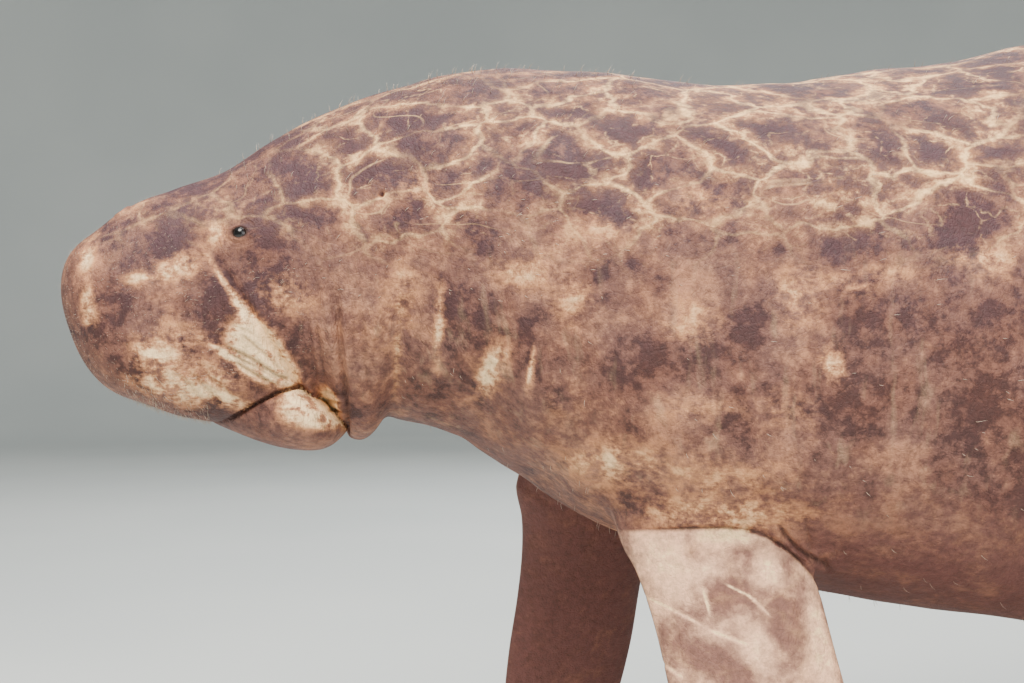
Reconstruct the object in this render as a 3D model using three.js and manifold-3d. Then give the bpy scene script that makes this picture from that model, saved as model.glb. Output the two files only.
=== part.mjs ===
// A life-size Florida manatee, head bowed and flippers hanging, held by a plain display stand.
// Units are millimetres, +Z is up, the snout points to -X and the left flank faces -Y.
// The origin is the centre of the underside of the stand's base.
import * as THREE from "three";
import { mergeVertices } from "three/addons/utils/BufferGeometryUtils.js";
import Module from "manifold-3d";

const wasm = await Module();
wasm.setup();

// Driving dimensions
const SNOUT_X = -1300; // the foremost point of the snout, from the middle of the base
const AXIS_Z = 690; // the animal's own level, from which the outline heights below are measured
const JOINT_GAP = 0.3; // clear space between pieces that touch
const BODY_COLUMNS = 44; // facets round the body
const SPOT_RIBS = 12; // the eyes, nostrils and ears lie before this rib
const SNOUT_CAP = 2.3; // roundness of the snout's front, 2 is a circle
const TAIL_CAP = 2.1; // roundness of the paddle's rear edge
const TAIL_CAP_RIBS = 3; // ribs over which the paddle rounds off

// The body's ribs from snout to paddle: [back x, back z, belly x, belly z, half width, squareness, sag].
// x is measured behind the snout. Squareness 2 is an ellipse, and sag lowers the widest level.
const BODY_RIBS = [
  [-16, 86, 36, -66, 80, 2.5, 0.05], // nose plane
  [21, 103, 77, -62, 88, 2.5, 0.08], // rim of the facial disc
  [56, 128, 128, -79, 94, 2.5, 0.1], // nostrils
  [84, 149, 190, -87, 98, 2.4, 0.08], // front of the mouth
  [112, 159, 258, -74, 102, 2.3, 0.04], // crease behind the lip pads
  [163, 177, 266, -66, 110, 2.2, 0.04], // eyes
  [210, 209, 276, -74, 120, 2.15, 0.04], // cheeks
  [250, 232, 291, -95, 130, 2.1, 0.04], // crease behind the cheeks
  [292, 251, 307, -103, 140, 2.1, 0.04], // throat fold
  [348, 271, 338, -84, 155, 2.1, 0.04], // ears
  [415, 288, 396, -97, 178, 2.1, 0.05], // nape
  [500, 292, 468, -140, 208, 2.15, 0.08], // hump of the neck
  [592, 285, 570, -200, 240, 2.4, 0.12], // shoulders
  [692, 280, 690, -244, 270, 2.4, 0.14], // armpits
  [810, 291, 815, -279, 296, 2.2, 0.14], // chest
  [950, 317, 950, -305, 318, 2.1, 0.14], // ribs
  [1110, 347, 1110, -324, 335, 2.1, 0.14], // belly
  [1300, 360, 1300, -334, 346, 2.1, 0.14], // widest girth
  [1500, 345, 1495, -324, 340, 2.1, 0.12], // loin
  [1710, 297, 1695, -292, 312, 2.05, 0.1], // hips
  [1920, 224, 1895, -244, 266, 2.0, 0.08], // vent
  [2110, 152, 2085, -192, 216, 2.0, 0.06], // tail stock
  [2280, 92, 2258, -148, 180, 2.0, 0.04], // narrowest tail stock
  [2430, 44, 2415, -112, 178, 1.95, 0], // root of the paddle
  [2570, 2, 2560, -88, 222, 1.85, 0], // spreading edge
  [2700, -32, 2694, -79, 280, 1.75, 0], // paddle
  [2820, -51, 2817, -83, 318, 1.7, 0], // widest paddle
  [2932, -66, 2931, -89, 328, 1.7, 0], // rear of the paddle
  [3040, -80, 3040, -94, 322, 1.7, 0], // rear edge
];

// The lower jaw's ribs, in the same form.
const JAW_RIBS = [
  [138, -58, 148, -95, 50, 2.3, 0],
  [182, -34, 196, -107, 76, 2.3, 0],
  [222, -28, 238, -114, 92, 2.3, 0],
  [257, -48, 272, -115, 92, 2.3, 0],
  [286, -72, 300, -102, 80, 2.3, 0],
];
const JAW_CAP = 2.2;

// Creases that follow a rib down both flanks: the rib, the crease's width in ribs, its depth,
// and the heights between which it shows. Finer wrinkles are left to the render.
const RIB_CREASES = [
  { rib: 4, width: 0.2, depth: 9, top: 132, bottom: -110 }, // behind the lip pads
  { rib: 7, width: 0.24, depth: 9, top: 100, bottom: -140 }, // behind the cheeks
  { rib: 8.9, width: 0.3, depth: 4, top: 60, bottom: -130 }, // throat roll
];
const CREASE_FADE = 40; // height over which such a crease dies away

// Swellings and hollows of the hide: [x, y, z, reach, height], the same on both flanks.
const SWELLINGS = [
  [200, 90, 14, 34, 7], // rear bulge of the lip pad
  [110, 70, -40, 46, 5], // front bulge of the lip pad
  [204, 84, -48, 26, 7], // lower margin of the lip
  [186, 108, 108, 30, 6], // mound round the eye
  [62, 30, 128, 26, 2.5], // nostril mound
  [86, 0, 150, 30, -5], // dip between the nostrils and the brow
  [262, 128, -10, 40, 5], // cheek
  [730, 236, -210, 26, 9], // armpit roll
];

// The groove that parts the upper lip at the middle of the snout's face, deeper downwards.
const CLEFT = { width: 14, depth: 13, top: -8, deepest: -50, rear: 92, front: 60 };

// Eyes, as seen from the side, with a ring of lid round each
const EYE = { x: 184, z: 105, radius: 10, sink: 7.4, lidTube: 3.2, lidRing: 8.8, lidSink: 0.9, facets: 16 };
// Nostrils, as seen from above: two crescent slits, their hollow side to the front
const NOSTRIL = { x: 56, y: 25, ring: 12, tube: 4.2, squash: 0.85, toe: 0.3 };
// Ears, two pinholes with no flap, as seen from the side
const EAR = { x: 318, z: 142, radius: 3.5, depth: 9 };

// The flippers: [distance down, leading edge, trailing edge, half thickness], in the flipper's own plane.
const FLIPPER_RIBS = [
  [0, -84, 66, 42],
  [60, -97, 84, 40],
  [110, -84, 88, 36],
  [160, -78, 88, 30],
  [220, -77, 88, 26],
  [290, -79, 88, 21],
  [360, -77, 82, 16],
  [420, -69, 70, 12.5],
  [470, -59, 58, 10],
  [505, -50, 46, 8],
];
const FLIPPER_COLUMNS = 26;
const FLIPPER_ROWS = 20;
const FLIPPER_CAP = 2.1; // roundness of the tip
const FLIPPER_EDGE = 1.9; // roundness of the section, 2 is an ellipse
const FLIPPER_TIP_RIBS = 2.2; // ribs over which the tip rounds off
const FLIPPER_ROOT_RIBS = 0.6; // and the hidden root
const FLIPPERS = {
  left: { side: -1, root: [638, 120, -110], splay: 20, sweep: 7.5, twist: 14 },
  right: { side: 1, root: [597, 120, -110], splay: 18, sweep: -3.5, twist: 10 },
};
const NAILS = { count: 3, inset: 32, spread: 30, length: 21, width: 15, proud: 2.6, depth: 5, fan: 0.3 };

// Display stand
const BASE = { length: 1240, width: 620, height: 36, corner: 90, bevel: 5 };
const ROD = { radius: 24, facets: 24, collarRadius: 58, collarHeight: 14, x: [-150, 500] };

// Cuts that part the body into the pieces a person would name: a point and a second point on the side view.
const BODY_CUTS = [
  { name: "muzzle", from: [258, -74], to: [112, 159] },
  { name: "head", from: [299, -99], to: [344, 268] },
  { name: "neck", from: [476, -140], to: [548, 290] },
  { name: "chest", from: [1010, -300], to: [1010, 330] },
  { name: "abdomen", from: [1800, -260], to: [1815, 260] },
  { name: "tail_stock", from: [2440, -110], to: [2452, 40] },
  { name: "tail_paddle" },
];

// Materials
const finish = (colour, roughness, metalness = 0) =>
  new THREE.MeshStandardMaterial({ color: colour, roughness, metalness });
const HIDE = finish(0x7a6259, 0.75);
const LIP = finish(0xa58a7c, 0.7);
const EYEBALL = finish(0x1c1412, 0.15);
const NAIL = finish(0xcbb7a0, 0.5);
const STEEL = finish(0x8d9093, 0.35, 0.9);
const BOARD = finish(0x2e2f31, 0.6);

const clamp01 = (v) => Math.min(1, Math.max(0, v));
const smooth = (v) => v * v * (3 - 2 * v);

// A smooth curve through the rows of a table, where t counts rows.
function rowAt(table, t) {
  const last = table.length - 1;
  const i = Math.min(last - 1, Math.max(0, Math.floor(t)));
  const f = t - i;
  const slope = (j, k) =>
    (table[Math.min(last, j + 1)][k] - table[Math.max(0, j - 1)][k]) / (j > 0 && j < last ? 2 : 1);
  return table[i].map((a, k) => {
    const b = table[i + 1][k];
    const [m, n] = [slope(i, k), slope(i + 1, k)];
    return (
      a * (1 + 2 * f) * (1 - f) ** 2 + m * f * (1 - f) ** 2 + b * f * f * (3 - 2 * f) - n * f * f * (1 - f)
    );
  });
}

// How far a rounded end has opened, from 0 at its pole to 1.
const capOpening = (u, power) => (u >= 1 ? 1 : (1 - (1 - clamp01(u)) ** power) ** (1 / power));
const rounded = (c, squareness) => Math.sign(c) * Math.abs(c) ** (2 / squareness);

// A point of a ribbed form. t counts ribs, and the angle runs from the back down the left flank.
function ribPoint(ribs, caps, t, angle, grow = 0) {
  const [bx, bz, vx, vz, width, squareness, sag] = rowAt(ribs, t);
  const opening =
    capOpening(t / caps.frontRibs, caps.front) *
    capOpening((ribs.length - 1 - t) / caps.rearRibs, caps.rear);
  const half = Math.hypot(bx - vx, bz - vz) / 2;
  const up = [(bx - vx) / (2 * half), (bz - vz) / (2 * half)];
  const c = rounded(Math.cos(angle), squareness);
  const s = rounded(Math.sin(angle), squareness);
  const rise = (-sag + c * (1 + Math.sign(c) * sag)) * half * opening + grow * Math.cos(angle);
  const middle = [(bx + vx) / 2, (bz + vz) / 2];
  return new THREE.Vector3(
    middle[0] + up[0] * rise,
    -s * width * opening - grow * Math.sin(angle),
    middle[1] + up[1] * rise,
  );
}

// How far the hide stands out from the plain ribbed form at a point, negative in a crease.
function relief(t, p) {
  let height = 0;
  for (const { rib, width, depth, top, bottom } of RIB_CREASES) {
    const fade = smooth(clamp01((top - p.z) / CREASE_FADE)) * smooth(clamp01((p.z - bottom) / CREASE_FADE));
    height -= depth * fade * Math.exp(-(((t - rib) / width) ** 2));
  }
  const lower = smooth(clamp01((CLEFT.top - p.z) / (CLEFT.top - CLEFT.deepest)));
  const forward = smooth(clamp01((CLEFT.rear - p.x) / CLEFT.front));
  height -= CLEFT.depth * lower * forward * Math.exp(-((p.y / CLEFT.width) ** 2));
  for (const [x, y, z, reach, rise] of SWELLINGS) {
    const d = Math.hypot(p.x - x, Math.abs(p.y) - y, p.z - z) / reach;
    height += rise * Math.exp(-d * d);
  }
  return height;
}

// A closed surface from rows of rings between two poles.
function ringSurface(rows, columns, pointAt) {
  const position = [];
  const index = [];
  const ring = (row, column) => 1 + (row - 1) * columns + (column % columns);
  position.push(...pointAt(0, 0));
  for (let row = 1; row < rows; row++)
    for (let column = 0; column < columns; column++)
      position.push(...pointAt(row / rows, (2 * Math.PI * column) / columns));
  position.push(...pointAt(1, 0));
  const tail = position.length / 3 - 1;
  for (let column = 0; column < columns; column++) {
    index.push(0, ring(1, column), ring(1, column + 1));
    for (let row = 1; row + 1 < rows; row++) {
      const [a, b, c, d] = [
        ring(row, column),
        ring(row + 1, column),
        ring(row + 1, column + 1),
        ring(row, column + 1),
      ];
      index.push(a, b, c, a, c, d);
    }
    index.push(tail, ring(rows - 1, column + 1), ring(rows - 1, column));
  }
  const geometry = new THREE.BufferGeometry();
  geometry.setAttribute("position", new THREE.Float32BufferAttribute(position, 3));
  geometry.setIndex(index);
  return geometry;
}

// Solids of manifold-3d from three.js geometry and back.
function solidOf(geometry, matrix = new THREE.Matrix4()) {
  const plain = geometry.clone().applyMatrix4(matrix);
  plain.deleteAttribute("normal");
  plain.deleteAttribute("uv");
  const merged = mergeVertices(plain, 1e-3);
  const mesh = new wasm.Mesh({
    numProp: 3,
    vertProperties: merged.attributes.position.array,
    triVerts: new Uint32Array(merged.index.array),
  });
  const solid = new wasm.Manifold(mesh);
  if (solid.volume() > 0) return solid;
  mesh.triVerts.reverse();
  return new wasm.Manifold(mesh);
}

function geometryOf(solid) {
  const mesh = solid.getMesh();
  const position = new Float32Array(mesh.numVert * 3);
  for (let i = 0; i < mesh.numVert; i++)
    position.set(mesh.vertProperties.subarray(i * mesh.numProp, i * mesh.numProp + 3), i * 3);
  const geometry = new THREE.BufferGeometry();
  geometry.setAttribute("position", new THREE.BufferAttribute(position, 3));
  geometry.setIndex(new THREE.BufferAttribute(new Uint32Array(mesh.triVerts), 1));
  geometry.computeVertexNormals();
  return geometry;
}

const place = (x, y, z, rx = 0, ry = 0, rz = 0) =>
  new THREE.Matrix4().compose(
    new THREE.Vector3(x, y, z),
    new THREE.Quaternion().setFromEuler(new THREE.Euler(rx, ry, rz)),
    new THREE.Vector3(1, 1, 1),
  );

const largest = (solid) => solid.decompose().sort((a, b) => b.volume() - a.volume())[0];
const between = (a, b, f) => a + (b - a) * f;

// The rows of the body: close together on the head, wider on the trunk, close again on the paddle's edge.
const bodyLast = BODY_RIBS.length - 1;
const POLE_STEP = 1e-3; // how near to a pole, in ribs, normals are still measured
const bodyCaps = { front: SNOUT_CAP, frontRibs: 1.25, rear: TAIL_CAP, rearRibs: TAIL_CAP_RIBS };
const ROW_STOPS = [
  // [row, rib reached], so that the creases fall on a row
  [0, 0],
  [8, 1.25],
  [18, 4],
  [31, 7],
  [40, 9],
  [49, 13],
  [65, 22],
  [69, bodyLast - TAIL_CAP_RIBS],
  [76, bodyLast],
];
const BODY_ROWS = ROW_STOPS[ROW_STOPS.length - 1][0];

function bodyRib(f) {
  const row = Math.round(f * BODY_ROWS);
  const i = ROW_STOPS.findIndex(([stop], k) => k > 0 && row <= stop);
  const [[r0, t0], [r1, t1]] = [ROW_STOPS[i - 1], ROW_STOPS[i]];
  const u = (row - r0) / (r1 - r0);
  const eased = Math.sin((u * Math.PI) / 2);
  if (i === 1) return between(t0, t1, 1 - (1 - eased ** SNOUT_CAP) ** (1 / SNOUT_CAP));
  if (i === ROW_STOPS.length - 1) return between(t0, t1, eased);
  return between(t0, t1, u);
}

// A point of the animal's hide, raised by its relief along the surface normal.
function hidePoint(t, angle, grow) {
  const p = ribPoint(BODY_RIBS, bodyCaps, t, angle, grow);
  const step = 0.02;
  const along = ribPoint(BODY_RIBS, bodyCaps, Math.min(bodyLast, t + step), angle, grow).sub(
    ribPoint(BODY_RIBS, bodyCaps, Math.max(0, t - step), angle, grow),
  );
  const near = Math.min(bodyLast - POLE_STEP, Math.max(POLE_STEP, t)); // a pole itself has no ring
  const round = ribPoint(BODY_RIBS, bodyCaps, near, angle + step, grow).sub(
    ribPoint(BODY_RIBS, bodyCaps, near, angle - step, grow),
  );
  return p.addScaledVector(round.cross(along).normalize(), relief(t, p));
}

const bodySolid = (grow = 0) =>
  solidOf(ringSurface(BODY_ROWS, BODY_COLUMNS, (f, a) => hidePoint(bodyRib(f), a, grow).toArray()));

function jawSolid() {
  const [rows, columns] = [14, 24];
  const last = JAW_RIBS.length - 1;
  const caps = { front: JAW_CAP, frontRibs: last / 2, rear: JAW_CAP, rearRibs: last / 2 };
  return solidOf(
    ringSurface(rows, columns, (f, a) =>
      ribPoint(JAW_RIBS, caps, (last * (1 - Math.cos(f * Math.PI))) / 2, a).toArray(),
    ),
  );
}

// The place on the left of the hide that a measure of distance is least at, and the normal there.
function hideSpot(missOf, toAngle) {
  const best = { miss: Infinity };
  for (let t = 0.5; t < SPOT_RIBS; t += 0.01)
    for (let angle = 0; angle < toAngle; angle += 0.02) {
      const miss = missOf(ribPoint(BODY_RIBS, bodyCaps, t, angle));
      if (miss < best.miss) Object.assign(best, { miss, t, angle });
    }
  const step = 0.01;
  const here = ribPoint(BODY_RIBS, bodyCaps, best.t, best.angle);
  const along = ribPoint(BODY_RIBS, bodyCaps, best.t + step, best.angle).sub(here);
  const round = ribPoint(BODY_RIBS, bodyCaps, best.t, best.angle + step).sub(here);
  return { point: hidePoint(best.t, best.angle, 0), normal: round.cross(along).normalize() };
}

const seenFromSide = ({ x, z }) => hideSpot((p) => Math.hypot(p.x - x, p.z - z), 2.4);
const seenFromAbove = ({ x, y }) => hideSpot((p) => Math.hypot(p.x - x, p.y + y), 1.2);

const mirrored = new THREE.Matrix4().makeScale(1, -1, 1);
const flank = (side, matrix) => (side < 0 ? matrix : mirrored.clone().multiply(matrix));

// A matrix that stands local +Z along a normal at a point.
const onSurface = ({ point, normal }, sink = 0) =>
  new THREE.Matrix4().compose(
    point.clone().addScaledVector(normal, -sink),
    new THREE.Quaternion().setFromUnitVectors(new THREE.Vector3(0, 0, 1), normal),
    new THREE.Vector3(1, 1, 1),
  );

// Eyes: the ball, its lids on the head, and the socket that keeps it clear.
const eyeSpot = seenFromSide(EYE);
const eyeBall = (side, grow = 0) =>
  solidOf(new THREE.SphereGeometry(EYE.radius + grow, EYE.facets, 9), flank(side, onSurface(eyeSpot, EYE.sink)));
const eyeLid = (side) =>
  solidOf(
    new THREE.TorusGeometry(EYE.lidRing, EYE.lidTube, 6, EYE.facets),
    flank(side, onSurface(eyeSpot, EYE.lidSink)),
  );

// Nostrils: the rear half of a ring sunk in the top of the snout.
const nostrilSpot = seenFromAbove(NOSTRIL);
function nostril(side) {
  const { ring, tube, squash, toe } = NOSTRIL;
  const whole = new THREE.TorusGeometry(ring, tube, 6, 14).scale(1, squash, 1);
  const rear = new THREE.BoxGeometry(4 * ring, 4 * ring, 4 * ring).translate(1.9 * ring, 0, 0);
  const slit = solidOf(whole).intersect(solidOf(rear)).transform(place(0, 0, 0, 0, 0, toe).toArray());
  return slit.transform(flank(side, onSurface(nostrilSpot)).toArray());
}

const earSpot = seenFromSide(EAR);
const earHole = (side) =>
  solidOf(
    new THREE.CylinderGeometry(EAR.radius, EAR.radius, 2 * EAR.depth, 10).rotateX(Math.PI / 2),
    flank(side, onSurface(earSpot)),
  );

// A flipper hangs in its own plane from a root inside the chest.
function flipperFrame({ side, root, splay, sweep, twist }) {
  const rad = THREE.MathUtils.degToRad;
  return place(root[0], side * root[1], root[2], side * rad(splay), rad(-sweep), side * rad(twist));
}

// The blade's section at t ribs down: how far down it is, its middle, half width and half thickness.
function bladeSection(t) {
  const last = FLIPPER_RIBS.length - 1;
  const [down, lead, trail, thick] = rowAt(FLIPPER_RIBS, t);
  const opening = capOpening((last - t) / FLIPPER_TIP_RIBS, FLIPPER_CAP) * capOpening(t / FLIPPER_ROOT_RIBS, 2);
  return { down, middle: (lead + trail) / 2, half: ((trail - lead) / 2) * opening, thick: thick * opening };
}

function flipperPoint(f, angle) {
  const { down, middle, half, thick } = bladeSection((FLIPPER_RIBS.length - 1) * f);
  return [middle + Math.cos(angle) * half, rounded(Math.sin(angle), FLIPPER_EDGE) * thick, -down];
}

function flipperSolid(frame) {
  const shape = ringSurface(FLIPPER_ROWS, FLIPPER_COLUMNS, (f, a) =>
    flipperPoint(f < 0.7 ? f : 0.7 + 0.3 * Math.sin(((f - 0.7) / 0.3) * (Math.PI / 2)), a),
  );
  return solidOf(shape, frame);
}

// A nail lies on the outer face of the flipper near its tip.
function nailSolid(frame, side, i) {
  const last = FLIPPER_RIBS.length - 1;
  const across = (i - (NAILS.count - 1) / 2) * NAILS.spread;
  const [tip, before] = [FLIPPER_RIBS[last][0], FLIPPER_RIBS[last - 1][0]];
  const inset = NAILS.inset + Math.abs(across) * NAILS.fan;
  const { middle, half, thick } = bladeSection(last - inset / (tip - before));
  const face = thick * Math.sqrt(1 - (across / half) ** 2);
  const local = new THREE.Matrix4()
    .makeTranslation(middle + across, side * (face + NAILS.proud - NAILS.depth), inset - tip)
    .scale(new THREE.Vector3(NAILS.width / 2, NAILS.depth, NAILS.length / 2));
  return solidOf(new THREE.SphereGeometry(1, 12, 8), frame.clone().multiply(local));
}

// A thin cut through the whole body, upright to the side view.
function cutSlab({ from, to }) {
  const [dx, dz] = [to[0] - from[0], to[1] - from[1]];
  const slab = new THREE.BoxGeometry(JOINT_GAP, 1200, 1400);
  return solidOf(slab, place((from[0] + to[0]) / 2, 0, (from[1] + to[1]) / 2, 0, Math.atan2(dx, dz)));
}

const root = new THREE.Group();
const standing = new THREE.Matrix4().makeTranslation(SNOUT_X, 0, AXIS_Z);
const toStand = (solid) => solid.transform(standing.toArray());

function addPiece(name, solid, material) {
  const mesh = new THREE.Mesh(geometryOf(largest(solid)), material);
  mesh.name = name;
  root.add(mesh);
}

// The body with its fine parts, then parted into named pieces.
const grownBody = bodySolid(JOINT_GAP + 0.1);
let body = bodySolid();
for (const side of [-1, 1]) {
  body = body
    .add(eyeLid(side))
    .subtract(eyeBall(side, JOINT_GAP))
    .subtract(nostril(side))
    .subtract(earHole(side));
}
for (const cut of BODY_CUTS) if (cut.from) body = body.subtract(cutSlab(cut));
const pieces = body
  .decompose()
  .filter((piece) => piece.volume() > 1000)
  .sort((a, b) => a.boundingBox().min[0] - b.boundingBox().min[0]);
if (pieces.length !== BODY_CUTS.length) throw new Error(pieces.length + " body pieces");
pieces.forEach((piece, i) => {
  const name = BODY_CUTS[i].name;
  addPiece(name, toStand(piece), name === "muzzle" ? LIP : HIDE);
});
addPiece("lower_jaw", toStand(jawSolid().subtract(grownBody)), LIP);
for (const [name, side] of [["left", -1], ["right", 1]])
  addPiece("eye_" + name, toStand(eyeBall(side)), EYEBALL);

for (const [name, flipper] of Object.entries(FLIPPERS)) {
  const frame = flipperFrame(flipper);
  const blade = flipperSolid(frame).subtract(grownBody);
  addPiece("flipper_" + name, toStand(blade), HIDE);
  for (let i = 0; i < NAILS.count; i++) {
    const nail = nailSolid(frame, flipper.side, i);
    const face = flipperSolid(frame).translate([0, flipper.side * JOINT_GAP, 0]);
    addPiece("nail_" + name + "_" + (i + 1), toStand(nail.subtract(face)), NAIL);
  }
}

// The stand: a bevelled board, and rods that end face to face with the belly.
function baseGeometry() {
  const [x, y, r] = [BASE.length / 2 - BASE.bevel, BASE.width / 2 - BASE.bevel, BASE.corner];
  const outline = new THREE.Shape()
    .moveTo(-x + r, -y)
    .lineTo(x - r, -y)
    .absarc(x - r, -y + r, r, -Math.PI / 2, 0)
    .lineTo(x, y - r)
    .absarc(x - r, y - r, r, 0, Math.PI / 2)
    .lineTo(-x + r, y)
    .absarc(-x + r, y - r, r, Math.PI / 2, Math.PI)
    .lineTo(-x, -y + r)
    .absarc(-x + r, -y + r, r, Math.PI, 1.5 * Math.PI);
  return new THREE.ExtrudeGeometry(outline, {
    depth: BASE.height - 2 * BASE.bevel,
    bevelThickness: BASE.bevel,
    bevelSize: BASE.bevel,
    bevelSegments: 1,
    curveSegments: 6,
  }).translate(0, 0, BASE.bevel);
}

addPiece("stand_base", solidOf(baseGeometry()), BOARD);
const lowered = toStand(bodySolid(JOINT_GAP));
const rodTop = AXIS_Z;
ROD.x.forEach((x, i) => {
  const foot = BASE.height + JOINT_GAP;
  const profile = [
    [0, foot],
    [ROD.collarRadius, foot],
    [ROD.collarRadius, foot + ROD.collarHeight * 0.6],
    [ROD.collarRadius - 6, foot + ROD.collarHeight],
    [ROD.radius, foot + ROD.collarHeight],
    [ROD.radius, rodTop],
    [0, rodTop],
  ].map(([r, z]) => new THREE.Vector2(r, z));
  const rod = new THREE.LatheGeometry(profile, ROD.facets).rotateX(Math.PI / 2);
  addPiece("stand_rod_" + (i ? "rear" : "front"), solidOf(rod, place(x, 0, 0)).subtract(lowered), STEEL);
});

export default root;
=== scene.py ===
"""A life-size manatee, head bowed and flippers hanging, held over a flat base by two rods.

The hide is one skin. It is worked out from ribs on the side view, in the sizes that the solids use,
joined to the lower jaw and the flippers, and made finer round the eyes, nostrils and ears. The
animal's own coordinates are millimetres: x behind the snout, y to the right flank, z above the
axis level. The scene's frame is in metres, with the snout towards -X and the left flank towards -Y.
"""

from __future__ import annotations

import logging
import math
from dataclasses import dataclass, field
from enum import Enum

import bpy
import numpy as np
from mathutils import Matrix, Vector

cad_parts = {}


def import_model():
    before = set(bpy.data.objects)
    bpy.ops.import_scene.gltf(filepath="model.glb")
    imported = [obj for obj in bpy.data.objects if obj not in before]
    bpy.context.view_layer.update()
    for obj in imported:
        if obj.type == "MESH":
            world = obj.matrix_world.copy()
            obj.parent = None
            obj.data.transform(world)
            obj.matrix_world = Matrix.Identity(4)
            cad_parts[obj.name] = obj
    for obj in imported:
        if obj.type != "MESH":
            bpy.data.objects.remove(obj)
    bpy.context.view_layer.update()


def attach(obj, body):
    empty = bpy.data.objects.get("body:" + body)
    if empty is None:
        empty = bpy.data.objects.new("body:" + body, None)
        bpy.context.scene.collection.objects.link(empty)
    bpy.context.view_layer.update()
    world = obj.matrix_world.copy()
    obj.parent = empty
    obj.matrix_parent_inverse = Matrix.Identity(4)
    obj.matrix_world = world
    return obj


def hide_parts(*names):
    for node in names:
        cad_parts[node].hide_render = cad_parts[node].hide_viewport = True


LOG = logging.getLogger("manatee")
MM = 0.001

# Where the animal's own coordinates start, in the frame's millimetres
SNOUT_X = -1300.0
AXIS_Z = 690.0

# The body's ribs from snout to paddle: back x, back z, belly x, belly z, half width, squareness, sag
BODY_RIBS = (
    (-16, 86, 36, -66, 80, 2.5, 0.05),
    (21, 103, 77, -62, 88, 2.5, 0.08),
    (56, 128, 128, -79, 94, 2.5, 0.1),
    (84, 149, 190, -87, 98, 2.4, 0.08),
    (112, 159, 258, -74, 102, 2.3, 0.04),
    (163, 177, 266, -66, 110, 2.2, 0.04),
    (210, 209, 276, -74, 120, 2.15, 0.04),
    (250, 232, 291, -95, 130, 2.1, 0.04),
    (292, 251, 307, -103, 140, 2.1, 0.04),
    (348, 271, 338, -84, 155, 2.1, 0.04),
    (415, 288, 396, -97, 178, 2.1, 0.05),
    (500, 292, 468, -140, 208, 2.15, 0.08),
    (592, 285, 570, -200, 240, 2.4, 0.12),
    (692, 280, 690, -244, 270, 2.4, 0.14),
    (810, 291, 815, -279, 296, 2.2, 0.14),
    (950, 317, 950, -305, 318, 2.1, 0.14),
    (1110, 347, 1110, -324, 335, 2.1, 0.14),
    (1300, 360, 1300, -334, 346, 2.1, 0.14),
    (1500, 345, 1495, -324, 340, 2.1, 0.12),
    (1710, 297, 1695, -292, 312, 2.05, 0.1),
    (1920, 224, 1895, -244, 266, 2.0, 0.08),
    (2110, 152, 2085, -192, 216, 2.0, 0.06),
    (2280, 92, 2258, -148, 180, 2.0, 0.04),
    (2430, 44, 2415, -112, 178, 1.95, 0),
    (2570, 2, 2560, -88, 222, 1.85, 0),
    (2700, -32, 2694, -79, 280, 1.75, 0),
    (2820, -51, 2817, -83, 318, 1.7, 0),
    (2932, -66, 2931, -89, 328, 1.7, 0),
    (3040, -80, 3040, -94, 322, 1.7, 0),
)

# The lower jaw's ribs, in the same form
JAW_RIBS = (
    (138, -58, 148, -95, 50, 2.3, 0),
    (182, -34, 196, -107, 76, 2.3, 0),
    (222, -28, 238, -114, 92, 2.3, 0),
    (257, -48, 272, -115, 92, 2.3, 0),
    (286, -72, 300, -102, 80, 2.3, 0),
)

# A flipper's ribs: distance down, leading edge, trailing edge, half thickness
FLIPPER_RIBS = (
    (0, -84, 66, 42),
    (60, -97, 84, 40),
    (110, -84, 88, 36),
    (160, -78, 88, 30),
    (220, -77, 88, 26),
    (290, -79, 88, 21),
    (360, -77, 82, 16),
    (420, -69, 70, 12.5),
    (470, -59, 58, 10),
    (505, -50, 46, 8),
)

# The skin's grid: rows on the rounded snout and tail, and rows per rib from there on, by rib
SNOUT_ROWS = 24
TAIL_ROWS = 30
ROW_DENSITY = ((1.25, 13), (9, 13), (10, 11), (14, 10.5), (15, 5.5), (25, 5.5))
ROWS_IN_CREASE = 3.5
BODY_COLUMNS = 120

# The photo's camera: its place, its turn from straight across, and its lens on a 36 mm sensor
CAMERA_BEHIND_SNOUT = 224.0
CAMERA_DISTANCE = 1400.0
CAMERA_TURN = math.radians(10)
LENS = 45.7
SENSOR = 36.0


def clamp01(value: np.ndarray | float) -> np.ndarray:
    """Limits values to the range 0 to 1."""
    return np.clip(value, 0.0, 1.0)


def smooth(value: np.ndarray | float) -> np.ndarray:
    """Eases values from 0 to 1 with level ends."""
    v = clamp01(value)
    return v * v * (3 - 2 * v)


def hill(distance: np.ndarray, reach: float) -> np.ndarray:
    """A bell curve that is 1 at distance 0 and has faded to a third at its reach."""
    return np.exp(-((distance / reach) ** 2))


def signed_power(value: np.ndarray, power: np.ndarray | float) -> np.ndarray:
    """Raises the size of values to a power and keeps their signs."""
    return np.sign(value) * np.abs(value) ** power


def to_frame(points: np.ndarray) -> np.ndarray:
    """Turns the animal's own millimetres into the frame's metres."""
    return (points + np.array([SNOUT_X, 0.0, AXIS_Z])) * MM


def rows_at(table: np.ndarray, t: np.ndarray) -> np.ndarray:
    """A smooth curve through the rows of a table.

    Each stretch between two rows is a cubic whose slopes at its ends are half the step between the
    rows on either side, or the one step there is at the table's ends.

    Args:
        table: The rows.
        t: Where to read it, counted in rows.

    Returns:
        The values, with the table's columns as the last axis.
    """
    slopes = np.gradient(table, axis=0)
    i = np.clip(np.floor(t), 0, len(table) - 2).astype(int)
    f = (np.asarray(t) - i)[..., None]
    start = table[i] * (1 + 2 * f) * (1 - f) ** 2 + slopes[i] * f * (1 - f) ** 2
    return start + table[i + 1] * f * f * (3 - 2 * f) - slopes[i + 1] * f * f * (1 - f)


def cap_opening(u: np.ndarray, power: float) -> np.ndarray:
    """How far a rounded end has opened: (1 - (1 - u)^power)^(1 / power), from 0 at its pole to 1."""
    return (1 - (1 - clamp01(u)) ** power) ** (1 / power)


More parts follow.
